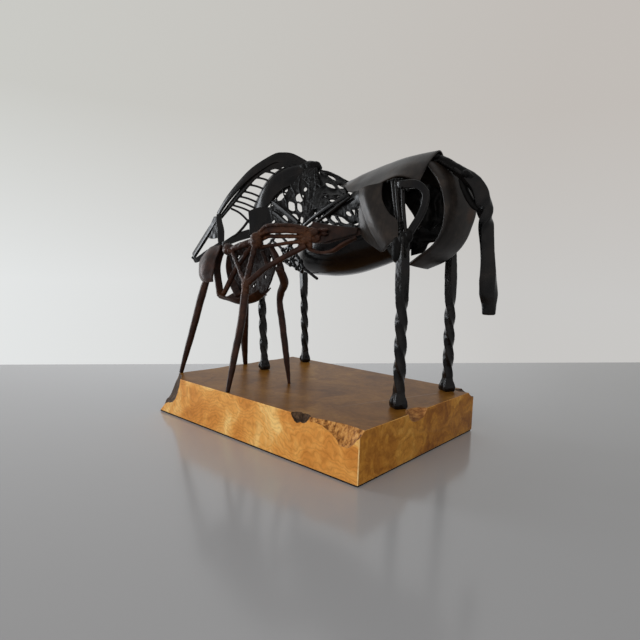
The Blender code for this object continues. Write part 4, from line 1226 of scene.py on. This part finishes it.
# a web looks along its "normal"; its "openings" are the place, length, width and tilt of each, and "give"
# is how much larger they are cut, since the rods round them take it up again
shoulder = {
    "knot": {"lumps": [((-57, 47, 361), (16, 10, 7)), ((-49, 48, 358), (9, 9, 7)),
                       ((-66, 45, 360), (11, 9, 7.5)), ((-54, 42, 352), (12, 7, 7))],
             "uneven": 2.6, "voxel": 0.7, "dents": (1.6, 4)},
    "blade": {
        "rows": [[(x, shoulderLean * z - near, z) for x, near in zip(across, (108, 109, 108))]
                 for *across, z in ((-62, -50, -38, 354), (-58, -44, -30, 340), (-42, -31, -20, 328),
                                    (-37, -27, -17, 312), (-36, -26, -15, 297), (-31, -23, -14, 284),
                                    (-29, -23, -18, 273))],
        "thick": 3.6, "steps": 7, "dents": (4.2, 7),
    },
    "bladeWeld": {
        "seams": [[(-50, 38, 349), (-38, 26, 328), (-31, 18, 308), (-26, 10, 288), (-24, 4, 274)],
                  [(-37, 35, 346), (-26, 26, 330), (-21, 19, 312), (-20, 11, 294)]],
        "bead": 6, "spacing": 4.5, "voxel": 0.7, "dents": (1.9, 3.5),
    },
    "left": {
        "normal": (0, -0.925, 0.379), "rod": 2.3, "skin": 1.4, "steps": 14, "give": 2.6,
        "rows": [onWeb(-66, -40, 356), onWeb(-74, -28, 342), onWeb(-84, -16, 328), onWeb(-106, -13, 314),
                 onWeb(-112, -11, 299), onWeb(-102, -16, 285), onWeb(-94, -22, 272)],
        "openings": [((-96, 24, 316), 16.6, 9.6, 26), ((-54, 21, 311), 17.5, 9.5, -34),
                     ((-65, 16, 299), 24, 8, -41), ((-48, 15, 296), 20.4, 4.6, -47),
                     ((-51, 10, 283), 20, 2.8, -30), ((-70, 9, 281), 14.6, 3, -37),
                     ((-36, 8, 277), 12.6, 3, -58), ((-107, 20, 307), 9.7, 4.5, 54),
                     ((-88, 27, 325), 3, 2.8, -20), ((-48, 26, 323), 4.7, 2.8, -41),
                     ((-93, 7, 277), 3, 3, 59), ((-10, 17, 300), 3.2, 2.4, -41)],
        "rods": [[(-98, 27, 330), (-84, 20, 314), (-76, 17, 303), (-66, 9, 284)],
                 [(-82, 30, 334), (-64, 22, 316)],
                 [(-66, 33, 342), (-60, 25, 324), (-44, 18, 306), (-36, 12, 290)]],
    },
    "breastBars": [
        {"route": [(-106, 17, 308), (-98, 15, 304), (-72, 10, 290.6), (-53, 6, 280.6), (-36, 2.5, 271.5)],
         "width": [5, 7.5, 7.5, 7, 6], "thick": 5, "flat": True, "faces": (0.3, 0.9, 0.2), "edge": 1.2},
        {"route": [(-97, 10, 292), (-83, 8.5, 285), (-66, 5, 275.5), (-50, 2.5, 268.5)],
         "width": 5.4, "thick": 4.4, "flat": True, "faces": (0.3, 0.9, 0.2), "edge": 1},
    ],
    "withers": {
        "normal": (0.307, -0.544, 0.781), "rod": 2.5, "skin": 1.4, "steps": 13, "give": 2.6,
        "rows": [[(-41, 48, 353), (-22, 47, 346), (-4, 45, 338), (14, 42, 328)],
                 [(-33, 38, 344), (-14, 36, 335), (4, 35, 326), (24, 32, 318)],
                 [(-26, 27, 330), (-8, 25, 322), (10, 22, 313), (34, 19, 309)],
                 [(-20, 14, 310), (0, 12, 307), (18, 10, 305), (44, 8, 304)],
                 [(-17, 7, 290), (2, 5, 291), (24, 4, 295), (52, 4, 302)]],
        "openings": [((-24, 28, 332), 31, 3.6, -62), ((-15, 43, 339), 28, 3.6, -45),
                     ((-3, 28, 324), 22, 4.6, -48), ((11, 34, 322), 12.8, 4.2, -58),
                     ((27, 7, 304), 9, 1.8, -12), ((20, 6, 299), 7.6, 3, -23),
                     ((4, 10, 309), 4.2, 1.6, -45)],
        "rods": [[(-42, 49, 354), (-24, 47, 348), (-6, 46, 341), (6, 44, 334), (14, 42, 328)],
                 [(-30, 38, 346), (-12, 37, 336), (0, 33, 328), (14, 26, 318), (34, 12, 308)],
                 [(-20, 20, 320), (-4, 16, 311), (16, 9, 303), (38, 6, 303)]],
    },
    "ribsLeft": {
        "normal": (-0.126, -0.991, -0.036), "rod": 2.2, "skin": 1.4, "steps": 14, "give": 2.2,
        "rows": [[(x, 4.4 - sideSkew * x, z) for x in (-4, 20, 48, 76)] for z in (291, 281, 270, 257)],
        "openings": [((9, 4, 276), 11.6, 4.4, -32), ((15, 3, 280), 6, 1.6, -17),
                     ((30, 1, 274), 18, 4.6, -26), ((46, -1, 272), 25.6, 4.4, -26),
                     ((55, -2, 279), 9, 2.4, -23), ((65, -4, 280), 10.8, 3, -31),
                     ((72, -4, 280), 10, 4.8, 59), ((68, -3, 266), 7.4, 3.6, 3),
                     ((17, 3, 268), 16.4, 2.8, -9), ((38, 0, 265), 12.4, 2.4, -6)],
        "rods": [[(0, 3, 288), (18, 1, 277), (34, -1, 268), (50, -2, 262)],
                 [(22, 1, 281), (44, -2, 276), (60, -4, 267), (72, -5, 262)]],
    },
    "right": {
        "normal": (-0.11, -0.92, -0.377), "rod": 2.6, "skin": 1.6, "steps": 12, "give": 4.5,
        "rows": [onFarWeb(-62, -34, 353), onFarWeb(-84, -8, 340), onFarWeb(-92, 16, 326),
                 onFarWeb(-104, 26, 312), onFarWeb(-108, 34, 298), onFarWeb(-96, 26, 284),
                 onFarWeb(-82, 10, 271)],
        "openings": [((-71, 85, 313), 6, 4.6, 17), ((-63, 72, 343), 22, 6, -56),
                     ((-36, 67, 346), 26, 4.9, -30), ((-40, 72, 335), 20, 6, -31),
                     ((-20, 71, 331), 12.4, 5.9, -24), ((-32, 78, 319), 12.4, 3.6, -10),
                     ((-43, 81, 315), 9.3, 5.3, -6), ((-56, 78, 324), 6, 3, -17),
                     ((-70, 94, 290), 13.4, 8, -36), ((-61, 91, 296), 8.4, 3.2, -17),
                     ((-47, 92, 288), 19.6, 7.8, -29), ((-28, 91, 286), 27, 7.6, -30),
                     ((-14, 86, 295), 11, 4.8, -26), ((-3, 84, 296), 12, 5.4, -35),
                     ((7, 83, 295), 14, 6.6, 46), ((-4, 91, 278), 10.5, 6.2, 17),
                     ((-64, 97, 280), 19, 5, -9), ((-41, 96, 277), 15, 4.4, -6),
                     ((-86, 79, 329), 12, 7, 24), ((-90, 86, 311), 13, 8, -38),
                     ((-88, 93, 296), 14, 6, -30), ((-2, 77, 318), 13, 6, -28),
                     ((-14, 80, 309), 12, 4.6, -20), ((14, 79, 310), 12, 6, -34)],
        "rods": [[(-98, 80, 331), (-84, 84, 317), (-70, 91, 303), (-44, 96, 276)],
                 [(-44, 58, 353), (-34, 67, 342), (-9, 76, 326), (17, 79, 313), (34, 84, 302)],
                 [(-110, 88, 311), (-84, 93, 302), (-60, 97, 288), (-34, 99, 270)]],
    },
    "breastLeft": {
        "places": {"a": (-68, 6, 221), "b": (-26, 4, 210), "c": (3, 1, 196), "d": (-56, 6, 242),
                   "e": (-34, 6, 219), "f": (-118, 12, 240), "g": (-30, 7, 258), "h": (-84, 8, 262),
                   "i": (-52, 6, 222), "j": (-72, 8, 236), "k": (-44, 6, 230), "l": (-98, 10, 250),
                   "m": (-53, 5, 214.5), "n": (-40, 5, 209.5), "o": (-31, 6, 205.5)},
        "bars": ["j-a-m-n-o-b-c", "a-i-e-b", "d-k-e", "a-d-g", "l-j-d", "h-d-i", "f-l-h", "j-i-k-g",
                 "i-n-e", "m-i", "o-e-k"],
        "diameter": 4.4,
    },
    "ribsRight": {
        "places": {"a": (3, 4, 290), "b": (10, 3, 280), "c": (29, 2, 267), "d": (44, 0, 256),
                   "g": (33, 0, 281), "h": (48, -1, 265), "j": (72, -4, 268), "k": (62, -3, 263),
                   "l": (24, 3, 296), "m": (56, -2, 288), "n": (8, 4, 264)},
        "bars": ["a-b-c-d", "g-h-k-j", "c-h", "a-l-m-j", "l-g-c", "m-k", "b-n-d"],
        "diameter": 3.2,
    },
}
shoulderBars = {
    "shoulderBar": {"route": [(-30, 4, 267), (-3, 2, 281), (28, 0, 294), (54, -1, 303)],
                    "across": (-0.5, 0.1, 0.85), "width": [4.6, 5, 5, 4.6], "thick": 3.6, "flat": True,
                    "edge": 0.8, "node": "mare_shoulder_bar_left"},
    "shoulderRodLeft": {"route": [(-22, 1, 262), (19, -2, 280), (39, -3, 290), (57, -4, 299)],
                        "width": [4, 4.6, 4.6, 3.6], "rough": (0.6, 5), "node": "mare_shoulder_rod_left"},
    "shoulderRodRight": {"route": toRight([(-44, 8, 274), (8, -2, 288), (46, -3, 308)]), "width": 4.8,
                         "rough": (0.5, 5), "node": "mare_shoulder_rod_right"},
}
gusset = {
    "rows": [[(20, 2, 279), (34, 1, 288), (48, 1, 298), (60, 2, 307)],
             [(38, 1, 281), (48, 0, 290), (57, 0, 298), (65, 1, 307)],
             [(56, -1, 284), (62, -2, 291), (67, -2, 299), (71, -1, 307)],
             [(73, -3, 286), (75, -4, 293), (77, -4, 300), (79, -3, 306)]],
    "thick": 1.8, "steps": 7, "dents": (0.9, 10),
}


def makeWithers():
    knot = shoulder["knot"]
    piece = joinPieces([layBead(place, size, knot["uneven"]) for place, size in knot["lumps"]])
    fuse(piece, knot["voxel"], 2)
    roughen(piece, *knot["dents"])
    steelPiece("withersKnot", piece, ["mare_withers_knot"], blackWeld)
    weld = shoulder["bladeWeld"]
    shapes = [cutSheet(shoulder["blade"])]
    for seam in weld["seams"]:
        shapes += layWeld(seam, weld["bead"], weld["spacing"])
    piece = joinPieces(shapes)
    fuse(piece, weld["voxel"], 2)
    roughen(piece, *weld["dents"])
    steelPiece("shoulderBlade", piece, ["mare_shoulder_blade_left"], blackWeld)


def makeLattices():
    lattice = [makeWeb(shoulder["left"])] + [forgeBar(bar) for bar in shoulder["breastBars"]]
    steelPiece("shoulderLatticeLeft", joinPieces(lattice), ["mare_shoulder_lattice_left"], blackWeld)
    for name, key, node in (("withersLattice", "withers", "mare_withers_lattice_left"),
                            ("ribLatticeLeft", "ribsLeft", "mare_rib_lattice_left"),
                            ("shoulderLatticeRight", "right", "mare_shoulder_lattice_right")):
        steelPiece(name, makeWeb(shoulder[key]), [node], blackWeld)
    rods = shoulder["breastLeft"]
    lattice = makeLattice(rods["places"], rods["bars"], rods["diameter"])
    steelPiece("breastRods", lattice, ["mare_breast_rods_left"])
    rods = shoulder["ribsRight"]
    places = dict(zip(rods["places"], toRight(rods["places"].values())))
    lattice = makeLattice(places, rods["bars"], rods["diameter"])
    steelPiece("ribLatticeRight", lattice, ["mare_rib_lattice_right"])


def makeShoulders():
    makeWithers()
    makeLattices()
    for name, bar in shoulderBars.items():
        steelPiece(name, forgeBar(bar), [bar["node"]])
    steelPiece("gusset", cutSheet(gusset), ["mare_shoulder_gusset_left"])


makeShoulders()
print("shoulders brazed")


# the foal: round bars drawn down to points, with plates for its rump, barrel and head

foalBars = {
    "foalHindLegLeft": {"route": [(-125, -84, 197), (-129, -87, 180), (-134, -90, 160), (-143, -95, 121),
                                  (-153, -99, 86), (-162, -102, 54.5)],
                        "width": [8, 10.5, 10.8, 10, 8.6, 5.6], "rough": (1.0, 9),
                        "node": "foal_leg_hind_left"},
    "foalHindLegRight": {"route": [(-107, -46, 176), (-119, -26, 172), (-128, -15, 151), (-143, -2, 100),
                                   (-157, 13, 54.5)],
                         "width": [6, 10, 12.5, 12, 7], "rough": (0.9, 9), "node": "foal_leg_hind_right"},
    "foalForeLegLeft": {"route": [(-24, -100, 190), (-25, -101, 176), (-22, -108, 140), (-23, -117, 98),
                                  (-26, -124, 54.5)],
                        "width": [9, 10, 9.6, 9, 5.6], "rough": (1.1, 8), "node": "foal_leg_fore_left"},
    "foalForeLegRight": {"route": [(-3, -67, 208), (-4, -60, 202), (-8, -50, 189), (-18, -46, 177),
                                   (-23, -43, 163), (-21, -40, 140), (-16, -35, 92), (-12, -32, 54.5)],
                         "width": [9, 11, 11.5, 10, 9, 9.4, 8.6, 4], "rough": (1.4, 7),
                         "node": "foal_leg_fore_right"},
    "foalShoulderBar": {"route": [(-23, -100, 187), (-9, -88, 204), (-3, -80, 211), (10, -68, 222),
                                  (29, -52, 236)],
                        "width": [8.5, 7.6, 7.2, 7.2, 8], "rough": (1.0, 7), "node": "foal_shoulder_bar"},
    "foalBraceBar": {"route": [(-41, -74, 240), (-66, -71, 220), (-84, -70, 203), (-95, -71, 186),
                               (-108, -72, 167)],
                     "width": [7, 7.5, 7.5, 7.5, 7], "rough": (0.9, 7), "node": "foal_brace_bar"},
    "foalRearHoop": {"route": [(-113, -67, 237), (-121, -68, 224), (-124.5, -69, 212), (-123.5, -70, 200),
                               (-117.5, -71, 182), (-112, -72, 167)],
                     "across": (0.3, 1, 0), "width": 10, "thick": 4, "flat": True, "edge": 1,
                     "rough": (0.7, 6), "node": "foal_rear_hoop"},
    "foalRearHoopRight": {"route": [(-110, -66, 240), (-118, -54, 239), (-126, -42, 233), (-134, -40, 211),
                                    (-124, -42, 188), (-100, -50, 168)],
                          "across": (1, 0.4, 0.1), "width": [7, 9, 12, 13, 12, 10], "thick": 3,
                          "flat": True, "edge": 0.8, "rough": (0.9, 7), "node": "foal_rear_hoop_right"},
    "foalGirth": {"route": [(-24, -60, 235), (-19, -58, 226), (-14, -54, 214), (-16, -48, 203)],
                  "across": (0.3, 1, 0), "width": [6, 7, 8, 9], "thick": 5.5, "flat": True, "edge": 1.2,
                  "rough": (0.9, 6), "node": "foal_girth_strip"},
    "foalNeckBarTop": {"route": [(-37, -73, 247), (-31, -70, 252), (-25, -68, 256), (-18, -66, 257.5),
                                 (3, -61, 257.5), (18, -54, 256.5), (28, -48, 254)],
                       "width": [8, 8.5, 9, 9, 9, 9, 8], "thick": [8, 10, 12, 12.5, 12.5, 12, 11],
                       "across": (0, 1, 0), "flat": True, "edge": 2.4, "rough": (1.2, 7),
                       "node": "foal_neck_bar_top"},
    "foalNeckBarLow": {"route": [(-37, -69, 234), (-22, -64, 236), (-8, -60, 238), (6, -56, 240),
                                 (24, -48, 242)],
                       "width": [5.5, 5, 4.6, 4.6, 5], "rough": (0.6, 6), "node": "foal_neck_bar_low"},
    "foalJawStrip": {"route": [(29, -46, 233), (38, -41, 229.5), (48, -37, 228.5), (57, -32, 231),
                               (65, -28, 237), (74, -23, 243), (82, -19, 247)],
                     "across": (0.4, 0.9, 0), "width": 6, "thick": 3.6, "flat": True, "edge": 0.8,
                     "rough": (0.4, 6), "node": "foal_jaw_strip"},
}
foalFrame = {
    "bars": [
        {"route": [(-80, -80, 230), (-60, -79, 236), (-37, -74, 242)], "width": [8.5, 9, 9.5]},
        {"route": [(-37, -74, 242), (-31, -87, 214), (-25, -100, 186)], "width": [7.5, 7.5, 8]},
        {"route": [(-78, -80, 229), (-52, -90, 207), (-24, -100, 186)], "width": [6, 6, 7.5]},
        {"route": [(-39, -62, 230), (-35, -58, 216), (-31, -56, 206)], "width": [5, 6, 7]},
    ],
    "lumps": [((-87, -80, 231), (8, 7, 7.5)), ((-79, -80, 229), (5, 6, 5)), ((-37, -74, 242), (8, 8, 11)),
              ((-24, -100, 186), (5.5, 5.5, 7)), ((-24, -100, 179), (4.5, 5, 6))],
}
foalPoll = {
    "bars": [{"route": [(-38, -70, 241), (-26, -64, 248), (-12, -60, 248), (6, -56, 248), (23, -49, 247.5)],
              "width": 5.4},
             {"route": [(-30, -74, 253), (-20, -71, 260.5), (3, -66, 261), (18, -58, 259.5),
                        (30, -49, 256)],
              "width": [4, 4.6, 4.6, 4.6, 4]}],
    "lumps": [((22, -48, 251), (11, 5, 5)), ((31, -45, 253), (12, 5, 6)), ((26, -47, 245), (9, 5, 8)),
              ((35, -42, 246), (9, 4, 6)), ((16, -50, 247), (8, 4, 3.5)), ((20, -49, 240), (7, 4, 4)),
              ((42, -39, 256), (12, 3, 3)), ((29, -46, 237), (6, 4, 6)), ((44, -38, 251), (9, 3, 2.5))],
}
foalKnot = {"uneven": 2.6, "voxel": 0.65, "smooth": 6, "dents": (2.2, 5), "pits": (1.0, 2)}
foalSheet = {"thick": 2, "steps": 8, "dents": (1.2, 14)}
foalPlates = {
    "foalRumpPlate": {"rows": [
        [(-153, -68, 229), (-135, -71, 236), (-112, -72, 237.5)],
        [(-154, -77, 216), (-132, -84, 219), (-111, -81, 218)],
        [(-150.5, -81, 203), (-130, -91, 203), (-107, -87, 203)],
        [(-146, -83, 194), (-126, -92, 193), (-106, -90, 194)],
        [(-138, -84, 187.5), (-122, -90, 186), (-107, -89, 187)],
    ], "node": "foal_rump_plate"},
    "foalBellyPlate": {"rows": [
        [(-113, -77, 172), (-114, -72, 165), (-114, -60, 166), (-112, -48, 172)],
        [(-98, -77, 168), (-97, -70, 162), (-96, -58, 161), (-95, -44, 168)],
        [(-78, -75, 166), (-78, -68, 160), (-77, -56, 159), (-76, -42, 168)],
        [(-58, -69, 170), (-58, -62, 165), (-57, -52, 164), (-55, -40, 174)],
        [(-45, -62, 179), (-45, -57, 174), (-44, -50, 174), (-42, -42, 182)],
    ], "node": "foal_belly_plate"},
}
foalBarrel = {  # the far wall of the foal's barrel, with the openings left in it
    "normal": (0, -1, 0), "rod": 2.4, "skin": 2.2, "steps": 11, "give": 2,
    "rows": [[(-126, -52, 236), (-96, -50, 240), (-66, -48, 241), (-36, -52, 236)],
             [(-128, -42, 216), (-98, -37, 218), (-66, -36, 218), (-34, -42, 216)],
             [(-124, -40, 196), (-97, -36, 196), (-66, -36, 196), (-39, -42, 196)],
             [(-112, -44, 176), (-92, -41, 176), (-68, -41, 176), (-47, -44, 178)],
             [(-100, -50, 166), (-86, -48, 165), (-70, -48, 165), (-56, -50, 169)]],
    "openings": [((-110, -38, 220), 7.5, 4.5, 60), ((-60, -36, 209.5), 9, 4, 68),
                 ((-43, -40, 220), 7, 4, 55), ((-80, -38, 184), 5, 2.4, 35), ((-58, -38, 196), 2.5, 2, 20)],
    "rods": [[(-104, -44, 236), (-92, -36, 214), (-82, -36, 190), (-74, -44, 168)],
             [(-74, -46, 239), (-58, -38, 222), (-48, -38, 200), (-58, -40, 180)],
             [(-92, -46, 166), (-72, -43, 168), (-49, -42, 172)]],
}
foalHead = {
    "top": [(30, -43, 263), (42, -36, 261), (62, -27, 259), (82, -17, 258)],
    "low": [(30, -46, 240), (42, -40, 240), (60, -30, 246), (82, -20, 252)],
    "thick": 2, "steps": 7, "dents": (1.0, 10),
}


def brownPiece(name, piece, node, steel=None):
    return steelPiece(name, piece, [node], steel or brownSteel)


def makeFoalKnot(name, knot, node):  # bars and lumps melted together
    shapes = [forgeBar(bar) for bar in knot["bars"]]
    shapes += [layBead(place, size, foalKnot["uneven"]) for place, size in knot["lumps"]]
    piece = joinPieces(shapes)
    fuse(piece, foalKnot["voxel"], foalKnot["smooth"])
    roughen(piece, *foalKnot["dents"])
    roughen(piece, *foalKnot["pits"], fine=True)
    brownPiece(name, piece, node)


def foalHeadRows():  # from the low edge over the cheek and the brow to the far side
    rows = []
    for high, low in zip(foalHead["top"], foalHead["low"]):
        brow = Vector(high) + Vector((2.5, 5, -1))
        farLow = Vector(low) + Vector((4.5, 9, 0))
        rows.append([low, high, tuple(brow), tuple(farLow)])
    return rows


def makeFoal():
    for name, bar in foalBars.items():
        brownPiece(name, forgeBar(bar), bar["node"])
    makeFoalKnot("foalSideFrame", foalFrame, "foal_side_frame")
    makeFoalKnot("foalPoll", foalPoll, "foal_poll_knot")
    for name, plate in foalPlates.items():
        brownPiece(name, cutSheet({**foalSheet, **plate}), plate["node"])
    # the barrel wall takes the weld painted darker, as painted shade of the barrel's inside
    brownPiece("foalBarrelWall", makeWeb(foalBarrel), "foal_barrel_plate_right", brownWeldPaintedShade)
    plate = cutSheet({**foalHead, "rows": foalHeadRows()})
    brownPiece("foalHead", plate, "foal_head_plate", brownPlate)


makeFoal()
print("foal welded")


# the room

# where the camera stands, how far it looks down, to the left and tipped, and its focal length
view = {"at": (437.4, -485.4, 198.9), "pitch": 5.13, "heading": 41.28, "roll": 1.99, "lens": 27.06}


def makeCamera():
    deselectAll()
    bpy.ops.object.camera_add(location=Vector(view["at"]) * mm)
    camera = bpy.context.object
    turn = Matrix.Rotation(math.radians(view["heading"]), 3, "Z")
    turn @= Matrix.Rotation(math.radians(90 - view["pitch"]), 3, "X")
    turn @= Matrix.Rotation(math.radians(view["roll"]), 3, "Z")
    camera.rotation_euler = turn.to_euler()
    camera.data.lens = view["lens"]
    camera.data.clip_start = 0.01
    bpy.context.scene.camera = camera


# the table: two places on its far edge, half its width, its colour and its gloss
table = {"farEdge": ((-633, -131), (167, 944)), "reach": 2600,
         "colour": (0.42, 0.42, 0.43), "roughness": 0.16}


def makeFloor():
    deselectAll()
    first, second = (Vector((*place, 0)) for place in table["farEdge"])
    along = (second - first).normalized()
    middle = (first + second) / 2
    toUs = Vector((along.y, -along.x, 0))
    reach = table["reach"]
    bpy.ops.mesh.primitive_plane_add(size=reach * 2 * mm, location=(middle + toUs * reach) * mm,
                                     rotation=(0, 0, math.atan2(along.y, along.x)))
    floor = bpy.context.object
    floor.name = "floor"
    made, _, shader = newMaterial("paleTable")
    setInputs(shader, Base_Color=(*table["colour"], 1), Roughness=table["roughness"])
    floor.data.materials.append(made)


lamps = {
    "window": {"at": (620, -2330, 480), "size": (2800, 1900), "power": 41, "tint": (1.0, 0.965, 0.92),
               "mirrored": False},  # it lights the wood, and leaves no veil on the black steel
    "glint": {"at": (-2260, -860, 480), "size": (760, 1500), "power": 24, "tint": (0.90, 0.95, 1.0)},
    "ceiling": {"at": (-500, 200, 1500), "size": (1400, 1400), "power": 1.0, "tint": (0.90, 0.95, 1.0)},
}


def makeLights():
    for name, lamp in lamps.items():
        deselectAll()
        place = Vector(lamp["at"]) * mm
        bpy.ops.object.light_add(type="AREA", location=place)
        light = bpy.context.object
        light.name = name
        light.rotation_euler = (place - Vector((0, 0, 150 * mm))).to_track_quat("Z", "Y").to_euler()
        light.data.shape = "RECTANGLE"
        light.data.size = lamp["size"][0] * mm
        light.data.size_y = lamp["size"][1] * mm
        light.data.energy = lamp["power"]
        light.data.color = lamp["tint"]
        light.visible_glossy = lamp.get("mirrored", True)


surround = {
    "wall": ((-0.80, 0.60, 0.05), (-1, 1)),  # the way to the pale wall
    # the light that falls on the sculpture, from behind us to the wall
    "lit": [(0.0, (0.56, 0.54, 0.52)), (0.40, (0.32, 0.32, 0.32)), (0.72, (0.33, 0.33, 0.32)),
            (0.88, (0.54, 0.54, 0.53)), (1.0, (0.90, 0.91, 0.92))],
    # the wall as it is seen, its light and shade painted on: brighter low on the left, dimmer on the right,
    # where the sculpture's soft shadow is painted in
    "across": ((0.60, 0.80, 0.0), (-0.50, 0.55)),
    "up": ((0, 0, 1), (-0.02, 0.30)),
    "low": ((0.80, 0.82, 0.82), (0.58, 0.57, 0.555)),
    "high": ((0.60, 0.605, 0.575), (0.535, 0.505, 0.475)),
}


def shareAlong(tree, place, key, spot):  # 0 to 1 between the two ends of a way through the room
    way, (start, end) = surround[key]
    along = addNode(tree, "ShaderNodeVectorMath", (-1000, spot), operation="DOT_PRODUCT")
    along.inputs[1].default_value = way
    tree.links.new(place.outputs["Generated"], along.inputs[0])
    share = setInputs(addNode(tree, "ShaderNodeMapRange", (-800, spot)), From_Min=start, From_Max=end)
    tree.links.new(along.outputs["Value"], share.inputs["Value"])
    return share.outputs["Result"]


def makeSurround():  # the pale wall as it is seen, and the light that it and the room give
    world = bpy.data.worlds.new("studio")
    bpy.context.scene.world = world
    world.use_nodes = True
    tree = world.node_tree
    place = addNode(tree, "ShaderNodeTexCoord", (-1200, 0))
    fade = rampNode(tree, surround["lit"], (-500, 200))
    tree.links.new(shareAlong(tree, place, "wall", 0), fade.inputs["Fac"])
    across = shareAlong(tree, place, "across", -200)
    levels = []
    for key, spot in (("low", 0), ("high", -200)):
        mix = addNode(tree, "ShaderNodeMix", (-500, spot), data_type="RGBA")
        left, right = surround[key]
        setInputs(mix, A=(*left, 1), B=(*right, 1))
        tree.links.new(across, mix.inputs["Factor"])
        levels.append(mix.outputs["Result"])
    wall = addMix(tree, (-300, -100), *levels)
    tree.links.new(shareAlong(tree, place, "up", -400), wall.inputs["Factor"])
    seen = addNode(tree, "ShaderNodeLightPath", (-300, 300))
    pick = addMix(tree, (-100, 0), fade.outputs["Color"], wall.outputs["Result"])
    tree.links.new(seen.outputs["Is Camera Ray"], pick.inputs["Factor"])
    tree.links.new(pick.outputs["Result"], tree.nodes["Background"].inputs["Color"])


makeCamera()
makeFloor()
makeLights()
makeSurround()
bpy.context.scene.view_settings.view_transform = "Standard"
print("room ready")
